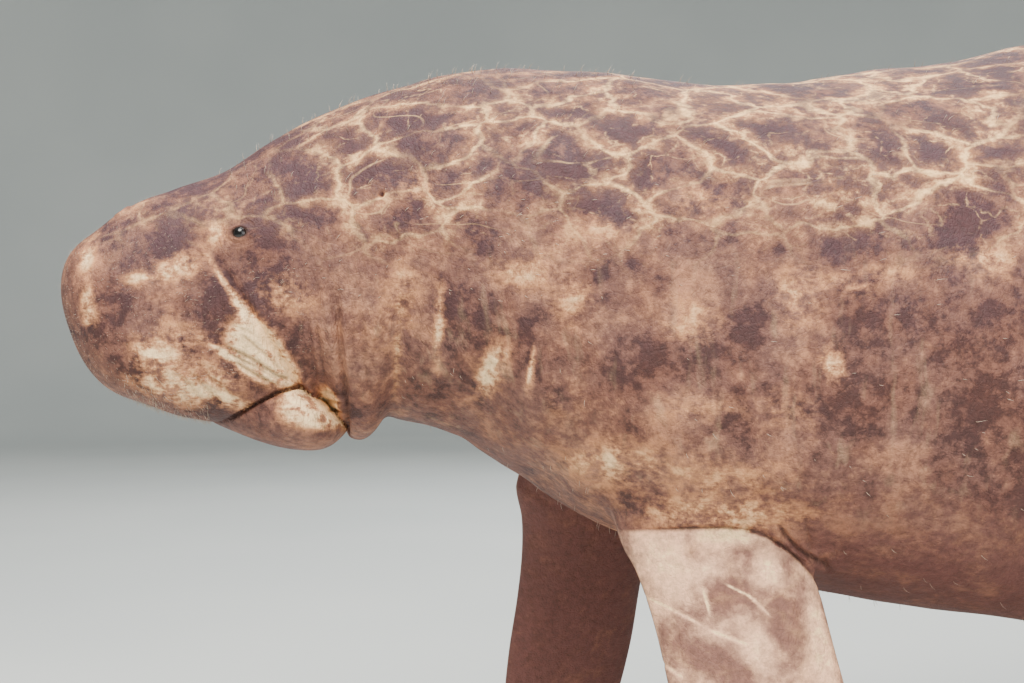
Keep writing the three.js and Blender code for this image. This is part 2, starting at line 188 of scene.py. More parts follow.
@dataclass(frozen=True)
class RibbedForm:
    """A closed form through ribs on the side view, rounded off at both ends."""

    ribs: tuple
    front_power: float
    front_ribs: float
    rear_power: float
    rear_ribs: float

    @property
    def last(self) -> int:
        """The last rib's number."""
        return len(self.ribs) - 1

    def point(self, t: np.ndarray, angle: np.ndarray) -> np.ndarray:
        """Places on the form.

        A rib is a superellipse upright to the side view. Its height goes with the cosine of the
        angle and its width with the sine, each raised to 2 / squareness, and both shrink to nothing
        at the form's two ends.

        Args:
            t: Where along the form, counted in ribs.
            angle: Where round it, from the back down the left flank.

        Returns:
            The places, in the animal's own coordinates.
        """
        row = rows_at(np.array(self.ribs, float), t)
        back_x, back_z, belly_x, belly_z, width, squareness, sag = np.moveaxis(row, -1, 0)
        opening = cap_opening(t / self.front_ribs, self.front_power)
        opening = opening * cap_opening((self.last - t) / self.rear_ribs, self.rear_power)
        half = np.hypot(back_x - belly_x, back_z - belly_z) / 2
        up_x, up_z = (back_x - belly_x) / (2 * half), (back_z - belly_z) / (2 * half)
        c = signed_power(np.cos(angle), 2 / squareness)
        s = signed_power(np.sin(angle), 2 / squareness)
        rise = (-sag + c * (1 + np.sign(c) * sag)) * half * opening
        x = (back_x + belly_x) / 2 + up_x * rise
        z = (back_z + belly_z) / 2 + up_z * rise
        return np.stack([x, -s * width * opening, z], axis=-1)

    def normal(self, t: np.ndarray, angle: np.ndarray) -> np.ndarray:
        """Outward unit normals, from small steps round and along the form."""
        step, pole = 0.02, 1e-3
        ahead = self.point(np.minimum(self.last, t + step), angle)
        along = ahead - self.point(np.maximum(0, t - step), angle)
        near = np.clip(t, pole, self.last - pole)
        around = self.point(near, angle + step) - self.point(near, angle - step)
        cross = np.cross(around, along)
        return cross / np.maximum(np.linalg.norm(cross, axis=-1, keepdims=True), 1e-9)


BODY = RibbedForm(BODY_RIBS, front_power=2.3, front_ribs=1.25, rear_power=2.1, rear_ribs=3)
JAW = RibbedForm(JAW_RIBS, front_power=2.2, front_ribs=2, rear_power=2.2, rear_ribs=2)


@dataclass(frozen=True)
class RibCrease:
    """A crease that follows a rib down both flanks, with a soft roll on each side of it."""

    rib: float
    width: float
    depth: float
    top: float
    bottom: float
    roll: float = 0.0
    fade: float = 40.0
    shade: float = 0.2

    def ends(self, z: np.ndarray) -> np.ndarray:
        """The fade towards the crease's top and bottom."""
        return smooth((self.top - z) / self.fade) * smooth((z - self.bottom) / self.fade)

    def height(self, t: np.ndarray, z: np.ndarray) -> np.ndarray:
        """How far the hide stands out there, in millimetres."""
        rolls = self.roll * hill(np.abs(t - self.rib) - 2.4 * self.width, 1.4 * self.width)
        return self.ends(z) * (rolls - self.depth * hill(t - self.rib, self.width))

    def strength(self, place: np.ndarray) -> np.ndarray:
        """How near a place is to the rib's straight line on the side view, 1 on it."""
        back_x, back_z, belly_x, belly_z = rows_at(np.array(BODY_RIBS, float), np.array(self.rib))[:4]
        dx, dz = belly_x - back_x, belly_z - back_z
        x, _, z = np.moveaxis(place, -1, 0)
        distance = ((x - back_x) * dz - (z - back_z) * dx) / math.hypot(dx, dz)
        return self.shade * self.ends(z) * hill(distance, 3.0)


@dataclass(frozen=True)
class DrawnCrease:
    """A crease drawn on the side view as x, z points and pressed into both flanks.

    The right flipper's root lies further forward, so a crease at the root may be shifted there.
    """

    path: tuple
    width: float
    depth: float
    right_shift: float = 0.0
    roll: float = 0.0

    def reach(self, place: np.ndarray) -> tuple[np.ndarray, np.ndarray]:
        """Distance to the path on the side view and the fade towards its ends.

        Args:
            place: Places in the animal's own coordinates.

        Returns:
            The distances in millimetres, and the fades from 0 to 1.
        """
        x = place[..., 0] - np.where(place[..., 1] > 0, self.right_shift, 0.0)
        z = place[..., 2]
        best = np.full(x.shape, 1e9)
        along = np.zeros(x.shape)
        for i, ((ax, az), (bx, bz)) in enumerate(zip(self.path, self.path[1:])):
            dx, dz = bx - ax, bz - az
            f = clamp01(((x - ax) * dx + (z - az) * dz) / (dx * dx + dz * dz))
            distance = np.hypot(x - ax - dx * f, z - az - dz * f)
            along = np.where(distance < best, (i + f) / (len(self.path) - 1), along)
            best = np.minimum(best, distance)
        return best, smooth(along * 5) * smooth((1 - along) * 5)

    def strength(self, place: np.ndarray) -> np.ndarray:
        """How near a place is to the crease, 1 in its bottom."""
        distance, fade = self.reach(place)
        return fade * hill(distance, self.width)

    def height(self, place: np.ndarray) -> np.ndarray:
        """How far the hide stands out there, in millimetres."""
        distance, fade = self.reach(place)
        rolls = hill(distance - 2.4 * self.width, 1.4 * self.width)
        return fade * (self.roll * rolls - self.depth * hill(distance, self.width))


@dataclass(frozen=True)
class Swelling:
    """A swelling or, with a negative height, a hollow of the hide, alike on both flanks."""

    x: float
    y: float
    z: float
    size: float
    rise: float

    def height(self, place: np.ndarray) -> np.ndarray:
        """How far the hide stands out at places, in millimetres."""
        offset = np.stack([place[..., 0], np.abs(place[..., 1]), place[..., 2]], axis=-1)
        distance = np.linalg.norm(offset - np.array([self.x, self.y, self.z]), axis=-1)
        return self.rise * hill(distance, self.size)


RIB_CREASES = (
    RibCrease(4, width=0.12, depth=6.5, top=112, bottom=-170, roll=2.0, fade=110, shade=0.1),
    RibCrease(rib=7, width=0.16, depth=5.5, top=72, bottom=-140, roll=1.5, fade=60),
    RibCrease(rib=8.9, width=0.22, depth=4, top=60, bottom=-130, roll=1.0),
    RibCrease(rib=10.3, width=0.2, depth=2.0, top=10, bottom=-150, shade=0.12),
    RibCrease(rib=11.3, width=0.18, depth=2.5, top=0, bottom=-180, roll=1.0),
)

# The line of the mouth from its corner forwards, and how low on the head it lies
MOUTH = DrawnCrease(
    ((248, -47), (239, -45.5), (229, -47.5), (219, -50.5), (200, -61), (182, -72), (166, -82)),
    width=1.8,
    depth=4.0,
    roll=1.2,
)
MOUTH_TOP = -30.0
MOUTH_REAR = 262.0

# The line of the left flipper's root on the side view, and how far forward the right one's lies
FLIPPER_SHIFT = -41.0
ROOT_LINE = (
    (548, -191),
    (581, -186),
    (613, -183),
    (646, -181),
    (664, -182),
    (682, -187),
    (705, -200),
    (724, -216),
    (738, -231),
    (752, -250),
)

# Fine creases of the lip, the cheek, the neck and the flipper's root
FINE_CREASES = (
    DrawnCrease(((159, -1), (192, -16), (219, -34), (235, -38)), width=1.9, depth=3.0, roll=1.2),
    DrawnCrease(((168, -10), (194, -23), (224, -40)), width=1.6, depth=2.2, roll=0.8),
    DrawnCrease(((176, -19), (195, -31), (218, -43)), width=1.8, depth=2.6, roll=1.0),
    DrawnCrease(((182, 8), (206, -12), (228, -34)), width=1.6, depth=1.4, roll=0.5),
    DrawnCrease(((150, 24), (180, 14), (204, 2)), width=1.8, depth=1.0),
    DrawnCrease(((120, -30), (136, -46), (150, -66)), width=2.0, depth=1.2, roll=0.5),
    DrawnCrease(((132, -28), (150, -46), (166, -66)), width=2.0, depth=1.4, roll=0.5),
    DrawnCrease(((146, -30), (166, -46), (184, -62)), width=2.0, depth=1.4, roll=0.5),
    DrawnCrease(((245, 40), (252, -9), (259, -44)), width=1.8, depth=1.0, roll=0.3),
    DrawnCrease(((254, 30), (262, -20), (268, -58)), width=1.8, depth=1.2, roll=0.4),
    DrawnCrease(((264, -50), (282, -54)), width=1.6, depth=1.8, roll=0.6),
    DrawnCrease(((266, -60), (284, -63)), width=1.6, depth=1.8, roll=0.6),
    DrawnCrease(((268, -70), (285, -72)), width=1.6, depth=1.6),
    DrawnCrease(((300, 30), (304, -20), (312, -60)), width=3.0, depth=1.2),
    DrawnCrease(ROOT_LINE, width=1.7, depth=3.0, right_shift=FLIPPER_SHIFT, roll=1.0),
    DrawnCrease(
        ((690, -172), (703, -188), (717, -201), (734, -211), (752, -220), (772, -236)),
        width=1.9,
        depth=3.4,
        right_shift=FLIPPER_SHIFT,
        roll=2.2,
    ),
    DrawnCrease(
        ((713, -164), (722, -186), (734, -210)),
        width=2.2,
        depth=1.8,
        right_shift=FLIPPER_SHIFT,
        roll=0.6,
    ),
)

# Pale lines on the flipper's outer face
FLIPPER_LINES = (
    DrawnCrease(((574, -251), (600, -262), (626, -276)), 1.7, 0.8, FLIPPER_SHIFT),
    DrawnCrease(((624, -236), (627, -248), (631, -268)), 1.6, 0.8, FLIPPER_SHIFT),
    DrawnCrease(((626, -277), (645, -284), (666, -291)), 1.7, 0.8, FLIPPER_SHIFT),
    DrawnCrease(((580, -309), (592, -316), (606, -325)), 1.8, 0.8, FLIPPER_SHIFT),
    DrawnCrease(((600, -352), (630, -362), (664, -358)), 1.8, 0.8, FLIPPER_SHIFT),
    DrawnCrease(((640, -232), (668, -246), (690, -268)), 1.6, 0.8, FLIPPER_SHIFT),
)


def below_root(place: np.ndarray) -> np.ndarray:
    """How far places lie below the line of the flipper's root, in millimetres."""
    x = place[..., 0] - np.where(place[..., 1] > 0, FLIPPER_SHIFT, 0.0)
    return np.interp(x, *np.array(ROOT_LINE, float).T) - place[..., 2]


SWELLINGS = (
    Swelling(200, 90, 14, 34, 7),
    Swelling(110, 70, -40, 46, 5),
    Swelling(204, 84, -48, 26, 7),
    Swelling(186, 108, 108, 30, 6),
    Swelling(62, 30, 128, 26, 2.5),
    Swelling(86, 0, 150, 30, -5),
    Swelling(262, 128, -10, 40, 5),
    Swelling(746, 178, -204, 24, 7),
)


@dataclass(frozen=True)
class Cleft:
    """The groove that parts the upper lip at the middle of the snout's face, deeper downwards."""

    width: float = 10.0
    depth: float = 13.0
    top: float = -8.0
    deepest: float = -50.0
    rear: float = 92.0
    front: float = 60.0

    def height(self, place: np.ndarray) -> np.ndarray:
        """How far the hide stands out at places, in millimetres."""
        lower = smooth((self.top - place[..., 2]) / (self.top - self.deepest))
        forward = smooth((self.rear - place[..., 0]) / self.front)
        return -self.depth * lower * forward * hill(place[..., 1], self.width)


@dataclass(frozen=True)
class Undulation:
    """Broad, shallow waves that keep the hide from looking turned on a lathe."""

    waves: int = 14
    shortest: float = 60.0
    longest: float = 260.0
    height_each: float = 0.55
    seed: int = 7

    def height(self, place: np.ndarray) -> np.ndarray:
        """Sums sine waves of seeded directions, lengths and phases over places."""
        rng = np.random.default_rng(self.seed)
        total = np.zeros(place.shape[:-1])
        for _ in range(self.waves):
            direction = rng.normal(size=3)
            direction /= np.linalg.norm(direction)
            length = rng.uniform(self.shortest, self.longest)
            phase = rng.uniform(0, 2 * math.pi)
            total += np.sin(place @ direction * (2 * math.pi / length) + phase)
        ahead = smooth((place[..., 0] - 120) / 300)
        return total * self.height_each * ahead


def relief(t: np.ndarray, place: np.ndarray) -> np.ndarray:
    """How far the hide stands out from the plain ribbed form, negative in a crease.

    Args:
        t: Where along the body the places are, counted in ribs.
        place: The places, in the animal's own coordinates.

    Returns:
        The heights in millimetres.
    """
    height = Cleft().height(place) + Undulation().height(place)
    for crease in RIB_CREASES:
        height = height + crease.height(t, place[..., 2])
    for swelling in SWELLINGS:
        height = height + swelling.height(place)
    return height


def hide_point(t: np.ndarray, angle: np.ndarray) -> np.ndarray:
    """Places on the hide: the ribbed form moved along its normals by its relief."""
    place = BODY.point(t, angle)
    return place + BODY.normal(t, angle) * relief(t, place)[..., None]


def body_stations() -> np.ndarray:
    """The rib coordinate of each row of the skin's grid.

    The rows step evenly outwards on the rounded snout and tail. Between them they follow the row
    density, which rises at every crease so that a few rows fall in its width.
    """
    snout = np.sin(np.linspace(0, math.pi / 2, SNOUT_ROWS + 1))
    snout = BODY.front_ribs * (1 - (1 - snout**BODY.front_power) ** (1 / BODY.front_power))
    tail = np.sin(np.linspace(0, math.pi / 2, TAIL_ROWS + 1))
    tail = BODY.last - BODY.rear_ribs * (1 - tail)
    t = np.linspace(snout[-1], tail[0], 4000)
    density = np.interp(t, *np.array(ROW_DENSITY, float).T)
    for crease in RIB_CREASES:
        density += ROWS_IN_CREASE / crease.width * hill(t - crease.rib, 2.5 * crease.width)
    rows = np.concatenate([[0], np.cumsum((density[1:] + density[:-1]) / 2 * np.diff(t))])
    middle = np.interp(np.linspace(0, rows[-1], int(rows[-1])), rows, t)
    return np.concatenate([snout, middle[1:-1], tail])


def ring_triangles(rings: int, columns: int) -> np.ndarray:
    """Triangles of a closed surface of rings between two poles.

    Point 0 is the first pole, the rings follow in order, and the last point is the other pole.

    Args:
        rings: How many rings lie between the poles.
        columns: How many points each ring has.

    Returns:
        The point numbers of the triangles.
    """
    ring = np.arange(rings * columns).reshape(rings, columns) + 1
    turned = np.roll(ring, -1, axis=1)
    a, b = ring[:-1].ravel(), ring[1:].ravel()
    c, d = turned[1:].ravel(), turned[:-1].ravel()
    sides = np.concatenate([np.stack([a, b, c], 1), np.stack([a, c, d], 1)])
    first = np.stack([np.zeros(columns, int), ring[0], turned[0]], 1)
    end = np.full(columns, rings * columns + 1)
    last = np.stack([end, turned[-1], ring[-1]], 1)
    return np.concatenate([first, sides, last])


def closed_surface(grid: np.ndarray) -> tuple[np.ndarray, np.ndarray]:
    """A closed surface from a grid of places whose first and last rows are the poles.

    Args:
        grid: Places with shape rows, columns, 3.

    Returns:
        The points and the triangles, turned so that they face outwards.
    """
    rows, columns = grid.shape[:2]
    points = np.concatenate([grid[:1, 0], grid[1:-1].reshape(-1, 3), grid[-1:, 0]])
    triangles = ring_triangles(rows - 2, columns)
    corners = points[triangles]
    volume = np.einsum("ij,ij->", corners[:, 0], np.cross(corners[:, 1], corners[:, 2]))
    return points, triangles if volume > 0 else triangles[:, ::-1]


def mesh_object(name: str, points: np.ndarray, triangles: np.ndarray) -> bpy.types.Object:
    """A smooth-shaded mesh object at the origin.

    Args:
        name: The object's name.
        points: Its points in the frame's metres.
        triangles: The point numbers of its triangles.

    Returns:
        The object, linked to the scene.
    """
    mesh = bpy.data.meshes.new(name)
    mesh.vertices.add(len(points))
    mesh.vertices.foreach_set("co", np.ascontiguousarray(points, np.float32).ravel())
    mesh.loops.add(3 * len(triangles))
    mesh.loops.foreach_set("vertex_index", np.ascontiguousarray(triangles, np.int32).ravel())
    mesh.polygons.add(len(triangles))
    mesh.polygons.foreach_set("loop_start", np.arange(0, 3 * len(triangles), 3, dtype=np.int32))
    mesh.polygons.foreach_set("use_smooth", np.ones(len(triangles), bool))
    mesh.update(calc_edges=True)
    mesh.validate()
    made = bpy.data.objects.new(name, mesh)
    bpy.context.scene.collection.objects.link(made)
    return made


def mesh_arrays(made: bpy.types.Object) -> tuple[np.ndarray, np.ndarray]:
    """Points and triangles of an object with its modifiers applied, in the frame's metres."""
    graph = bpy.context.evaluated_depsgraph_get()
    seen = made.evaluated_get(graph)
    mesh = seen.to_mesh()
    mesh.calc_loop_triangles()
    points = np.empty(len(mesh.vertices) * 3, np.float32)
    mesh.vertices.foreach_get("co", points)
    triangles = np.empty(len(mesh.loop_triangles) * 3, np.int32)
    mesh.loop_triangles.foreach_get("vertices", triangles)
    seen.to_mesh_clear()
    return points.reshape(-1, 3).astype(float), triangles.reshape(-1, 3)


def set_attribute(made: bpy.types.Object, name: str, values: np.ndarray) -> None:
    """Stores one number per point of a mesh, for its material to read."""
    layer = made.data.attributes.new(name, "FLOAT", "POINT")
    layer.data.foreach_set("value", np.ascontiguousarray(values, np.float32))


def joined(base: tuple, others: list[tuple]) -> tuple[np.ndarray, np.ndarray]:
    """The union of closed surfaces.

    Args:
        base: Points and triangles of the first surface.
        others: Those of the surfaces joined to it.

    Returns:
        Points and triangles of the union.
    """
    made = mesh_object("union", *base)
    scraps = [mesh_object(f"union_{i}", *other) for i, other in enumerate(others)]
    for scrap in scraps:
        union = made.modifiers.new(scrap.name, "BOOLEAN")
        union.operation = "UNION"
        union.solver = "MANIFOLD"
        union.object = scrap
    result = mesh_arrays(made)
    for scrap in (made, *scraps):
        mesh = scrap.data
        bpy.data.objects.remove(scrap)
        bpy.data.meshes.remove(mesh)
    return result


def unique_edges(triangles: np.ndarray) -> tuple[np.ndarray, np.ndarray]:
    """The edges of a mesh and, for each triangle, the numbers of its three edges."""
    sides = np.sort(triangles[:, [[0, 1], [1, 2], [2, 0]]].reshape(-1, 2), axis=1)
    edges, numbers = np.unique(sides, axis=0, return_inverse=True)
    return edges, numbers.reshape(-1, 3)


def point_normals(points: np.ndarray, triangles: np.ndarray) -> np.ndarray:
    """Unit normals of points, weighted by the area of the triangles round them."""
    corners = points[triangles]
    faces = np.cross(corners[:, 1] - corners[:, 0], corners[:, 2] - corners[:, 0])
    total = np.zeros_like(points)
    for k in range(3):
        for axis in range(3):
            total[:, axis] += np.bincount(triangles[:, k], faces[:, axis], len(points))
    return total / np.maximum(np.linalg.norm(total, axis=1, keepdims=True), 1e-12)


def soften(points: np.ndarray, triangles: np.ndarray, weight: np.ndarray, rounds: int) -> np.ndarray:
    """Moves points towards the mean of their neighbours.

    Args:
        points: The points.
        triangles: The triangles between them.
        weight: How far each point may follow, from 0 to 1.
        rounds: How often it is done.

    Returns:
        The moved points.
    """
    edges, _ = unique_edges(triangles)
    ends = np.concatenate([edges, edges[:, ::-1]])
    count = np.bincount(ends[:, 0], minlength=len(points))[:, None]
    moved = points.copy()
    for _ in range(rounds):
        total = np.stack(
            [np.bincount(ends[:, 0], part[ends[:, 1]], len(points)) for part in moved.T], 1
        )
        moved += weight[:, None] * 0.5 * (total / np.maximum(count, 1) - moved)
    return moved


def spread(marks: np.ndarray, triangles: np.ndarray, steps: int) -> np.ndarray:
    """A weight of 1 on marked points that falls to 0 over some steps along the edges."""
    edges, _ = unique_edges(triangles)
    far = np.where(marks, 0.0, float(steps))
    for _ in range(steps):
        np.minimum.at(far, edges[:, 0], far[edges[:, 1]] + 1)
        np.minimum.at(far, edges[:, 1], far[edges[:, 0]] + 1)
    return clamp01(1 - far / steps)


def refine(points: np.ndarray, triangles: np.ndarray, wanted: np.ndarray) -> tuple:
    """Splits triangles at the middles of their sides.

    A wanted triangle becomes four, a neighbour with one split side becomes two, and one with two
    split sides is split like the wanted ones, so that no gap opens.

    Args:
        points: The points.
        triangles: The triangles.
        wanted: Which triangles to split.

    Returns:
        The new points and triangles, with the old points first and in their order, and the pairs
        of old points that the new ones lie between.
    """
    edges, sides = unique_edges(triangles)
    split = np.zeros(len(edges), bool)
    split[sides[wanted]] = True
    two = split[sides].sum(axis=1) == 2
    while two.any():
        split[sides[two]] = True
        two = split[sides].sum(axis=1) == 2
    middle = np.where(split, len(points) + np.cumsum(split) - 1, -1)[sides]
    added = points[edges[split]].mean(axis=1)
    count = (middle >= 0).sum(axis=1)
    a, b, c = triangles[count == 3].T
    ab, bc, ca = middle[count == 3].T
    four = [np.stack(x, 1) for x in ((a, ab, ca), (ab, b, bc), (ca, bc, c), (ab, bc, ca))]
    one = count == 1
    turn = np.argmax(middle[one] >= 0, axis=1)[:, None]
    p, q, r = np.take_along_axis(triangles[one], (turn + np.arange(3)) % 3, axis=1).T
    m = middle[one].max(axis=1)
    two = [np.stack([p, m, r], 1), np.stack([m, q, r], 1)]
    faces = np.concatenate([triangles[count == 0], *four, *two])
    return np.concatenate([points, added]), faces, edges[split]


def left_side(place: np.ndarray) -> np.ndarray:
    """Mirrors places of the right side to the left, where the paired features are worked out."""
    return np.stack([place[..., 0], -np.abs(place[..., 1]), place[..., 2]], axis=-1)


@dataclass(frozen=True)
class Spot:
    """A place on the left of the hide with its outward normal and two directions along the hide."""

    centre: np.ndarray
    normal: np.ndarray
    rear: np.ndarray
    up: np.ndarray

    def local(self, place: np.ndarray) -> tuple[np.ndarray, np.ndarray, np.ndarray]:
        """Places as distances rearwards, upwards and outwards from the spot, both sides alike."""
        offset = left_side(place) - self.centre
        return offset @ self.rear, offset @ self.up, offset @ self.normal


def hide_spot(wanted: tuple[float, float], axes: tuple[int, int], half_turn: float) -> Spot:
    """The place on the left of the hide that two of its coordinates name.

    Args:
        wanted: The two coordinates.
        axes: Which coordinates they are.
        half_turn: How far round from the back the place may lie, in radians.

    Returns:
        The spot, found on a fine grid over the head.
    """
    t, angle = np.meshgrid(np.linspace(0.5, 12, 1151), np.linspace(0, half_turn, 160), indexing="ij")
    place = BODY.point(t, angle)
    miss = np.hypot(place[..., axes[0]] - wanted[0], place[..., axes[1]] - wanted[1])
    row, column = np.unravel_index(np.argmin(miss), miss.shape)
    here = t[row, column], angle[row, column]
    normal = BODY.normal(np.array(here[0]), np.array(here[1]))
    rear = np.array([1.0, 0.0, 0.0]) - normal * normal[0]
    rear /= np.linalg.norm(rear)
    centre = hide_point(np.array(here[0]), np.array(here[1]))
    return Spot(centre, normal, rear, np.cross(rear, normal))


@dataclass(frozen=True)
class EyeSocket:
    """An eye's opening with its two lids and the rings of wrinkles round it."""

    x: float = 184.0
    z: float = 105.0
    ball: float = 10.0
    sink: float = 7.4
    opening_wide: float = 7.0
    opening_high: float = 5.2
    pit: float = 8.0
    lid: float = 2.4
    lid_width: float = 4.2
    wrinkle: float = 0.45
    wrinkle_step: float = 4.2
    reach: float = 30.0

    def spot(self) -> Spot:
        """Where the eye is on the left of the hide."""
        return hide_spot((self.x, self.z), (0, 2), 2.4)

    def height(self, place: np.ndarray) -> np.ndarray:
        """How far the hide stands out round the eye.

        Inside the opening the hide drops to the bottom of a pit. Round it stands a lid, a bell
        curve of the distance from the rim and lower in the corners, and rings of wrinkles that
        fade outwards.

        Args:
            place: Places in the animal's own coordinates.

        Returns:
            The heights in millimetres.
        """
        rear, up, _ = self.spot().local(place)
        lower = np.where(up < 0, 0.82, 1.0)
        ratio = np.hypot(rear / self.opening_wide, up / (self.opening_high * lower))
        rim = (ratio - 1) * self.opening_high
        distance = np.hypot(rear, up * 1.1)
        turn = np.arctan2(up, rear)
        lid = self.lid * (0.75 + 0.25 * np.abs(np.sin(turn))) * hill(rim - 2.0, self.lid_width * 0.62)
        warp = 1.6 * np.sin(2 * turn + 0.7) + 0.9 * np.sin(5 * turn)
        rings = np.cos((distance + warp) * 2 * math.pi / self.wrinkle_step)
        broken = 0.35 + 0.65 * smooth(0.5 + np.sin(3 * turn + 0.22 * distance))
        fade = broken * smooth((distance - 9) / 6) * smooth((self.reach - distance) / 14)
        outside = np.where(rim > 0, lid + self.wrinkle * rings * fade, 0.0)
        wall = smooth(-rim / 1.1)
        inside = (1 - wall) * self.lid * 0.8 - wall * self.pit
        near = distance < 2 * self.reach
        return np.where(near, np.where(rim > 0, outside, inside), 0.0)

    def opening(self, place: np.ndarray) -> np.ndarray:
        """How close places are to the dark edge of the opening, 1 inside it."""
        rear, up, out = self.spot().local(place)
        ratio = np.hypot(rear / self.opening_wide, up / self.opening_high)
        return smooth((1.55 - ratio) / 0.6) * (np.abs(out) < 20)


@dataclass(frozen=True)
class Nostril:
    """A crescent slit on the top of the snout, its hollow side to the front."""

    x: float = 56.0
    y: float = 25.0
    ring: float = 12.0
    squash: float = 0.85
    toe: float = 0.3
    slit: float = 1.7
    depth: float = 6.5
    rim: float = 1.8
    sweep: float = math.radians(105)

    def spot(self) -> Spot:
        """Where the nostril is on the left of the hide."""
        return hide_spot((self.x, -self.y), (0, 1), 1.2)

    def local(self, place: np.ndarray) -> tuple[np.ndarray, np.ndarray]:
        """Distance from the crescent's line, and the fade towards its ends.

        Args:
            place: Places in the animal's own coordinates.

        Returns:
            Distances outwards from the ring in millimetres, and fades from 0 to 1.
        """
        rear, across, out = self.spot().local(place)
        c, s = math.cos(self.toe), math.sin(self.toe)
        u, v = rear * c - across * s, (rear * s + across * c) / self.squash
        turn = np.abs(np.arctan2(v, u))
        fade = smooth((self.sweep - turn) / 0.5) * (np.abs(out) < 25)
        return np.hypot(u, v) - self.ring, fade

    def height(self, place: np.ndarray) -> np.ndarray:
        """A slit along the crescent, a raised rim outside it and a domed flap inside it."""
        distance, fade = self.local(place)
        rim = self.rim * hill(distance - 4.5, 3.0)
        flap = 1.3 * hill(distance + 5.5, 4.5)
        return fade * (rim + flap - self.depth * hill(distance, self.slit))

    def strength(self, place: np.ndarray) -> np.ndarray:
        """How near places are to the bottom of the slit."""
        distance, fade = self.local(place)
        return fade * hill(distance, self.slit * 1.2)


@dataclass(frozen=True)
class Ear:
    """A pinhole with no flap, in a shallow dimple."""

    x: float = 318.0
    z: float = 142.0
    radius: float = 2.6
    depth: float = 5.0

    def height(self, place: np.ndarray) -> np.ndarray:
        """How far the hide stands out round the ear, in millimetres."""
        rear, up, _ = hide_spot((self.x, self.z), (0, 2), 2.4).local(place)
        distance = np.hypot(rear, up)
        return -self.depth * hill(distance, self.radius) - 0.9 * hill(distance, 7.0)


EYE = EyeSocket()
NOSTRIL = Nostril()
EAR = Ear()


def turn_x(angle: float) -> np.ndarray:
    """The matrix of a turn about X."""
    c, s = math.cos(angle), math.sin(angle)
    return np.array([[1, 0, 0], [0, c, -s], [0, s, c]])


def turn_y(angle: float) -> np.ndarray:
    """The matrix of a turn about Y."""
    c, s = math.cos(angle), math.sin(angle)
    return np.array([[c, 0, s], [0, 1, 0], [-s, 0, c]])


def turn_z(angle: float) -> np.ndarray:
    """The matrix of a turn about Z."""
    c, s = math.cos(angle), math.sin(angle)
    return np.array([[c, -s, 0], [s, c, 0], [0, 0, 1]])


class Side(Enum):
    """A side of the animal, as the sign of its y coordinate."""

    LEFT = -1
    RIGHT = 1


@dataclass(frozen=True)
class Flipper:
    """A flipper that hangs in its own plane from a root inside the chest."""

    side: Side
    root: tuple[float, float, float]
    splay: float
    sweep: float
    twist: float
    rows: int = 92
    columns: int = 72
    tip_power: float = 2.1
    tip_ribs: float = 2.2
    root_ribs: float = 0.6
    edge: float = 1.9

    @property
    def last(self) -> int:
        """The last rib's number."""
        return len(FLIPPER_RIBS) - 1

    def turn(self) -> np.ndarray:
        """The turn from the blade's plane into the animal's own coordinates."""
        sign = self.side.value
        splay, sweep, twist = (math.radians(a) for a in (self.splay, self.sweep, self.twist))
        return turn_x(sign * splay) @ turn_y(-sweep) @ turn_z(sign * twist)

    def out(self, local: np.ndarray) -> np.ndarray:
        """Carries places from the blade's plane into the animal's own coordinates."""
        x, y, z = self.root
        return local @ self.turn().T + np.array([x, self.side.value * y, z])

    def inward(self, place: np.ndarray) -> np.ndarray:
        """Carries places from the animal's own coordinates into the blade's plane."""
        x, y, z = self.root
        return (place - np.array([x, self.side.value * y, z])) @ self.turn()

    def section(self, t: np.ndarray) -> tuple[np.ndarray, ...]:
        """The blade's section at some ribs down.

        Args:
            t: How far down, counted in ribs.

        Returns:
            The distance down, the middle of the blade, its half width and its half thickness.
        """
        down, lead, trail, thick = np.moveaxis(rows_at(np.array(FLIPPER_RIBS, float), t), -1, 0)
        opening = cap_opening((self.last - t) / self.tip_ribs, self.tip_power)
        opening = opening * cap_opening(t / self.root_ribs, 2)
        return down, (lead + trail) / 2, (trail - lead) / 2 * opening, thick * opening

    def surface(self) -> tuple[np.ndarray, np.ndarray]:
        """The blade as a closed surface: an ellipse at each rib, closed at the root and the tip."""
        u = np.linspace(0, 1, self.rows + 1)
        tip = 0.7
        eased = tip + (1 - tip) * np.sin((u - tip) / (1 - tip) * math.pi / 2)
        t = self.last * np.where(u < tip, u, eased)[:, None]
        angle = np.linspace(0, 2 * math.pi, self.columns, endpoint=False)[None, :]
        down, middle, half, thick = self.section(t)
        across = middle + np.cos(angle) * half
        depth = signed_power(np.sin(angle), 2 / self.edge) * thick
        bones = 1.0 * np.sin(across / 13.0) * smooth((down - 200) / 150) * smooth(thick / 8)
        swell = bones * np.abs(np.sin(angle)) ** 2 * np.sign(np.sin(angle))
        local = np.stack([across, depth + swell, -down + 0 * angle], axis=-1)
        return closed_surface(self.out(local))


FLIPPERS = (
    Flipper(Side.LEFT, root=(638, 120, -110), splay=20, sweep=7.5, twist=14),
    Flipper(Side.RIGHT, root=(597, 120, -110), splay=18, sweep=-3.5, twist=10),
)


@dataclass(frozen=True)
class Marking:
    """A pale or dark patch of colour: an ellipse on the side view, alike on both flanks. Most are markings
    of the hide; a few are painted shade or painted highlight.
    """

    x: float
    z: float
    long: float
    high: float
    strength: float
    tilt: float = 0.0

    def value(self, place: np.ndarray) -> np.ndarray:
        """How strong the marking is at places."""
        c, s = math.cos(math.radians(self.tilt)), math.sin(math.radians(self.tilt))
        dx, dz = place[..., 0] - self.x, place[..., 2] - self.z
        distance = np.hypot((dx * c + dz * s) / self.long, (dz * c - dx * s) / self.high)
        return self.strength * np.exp(-(distance**2))


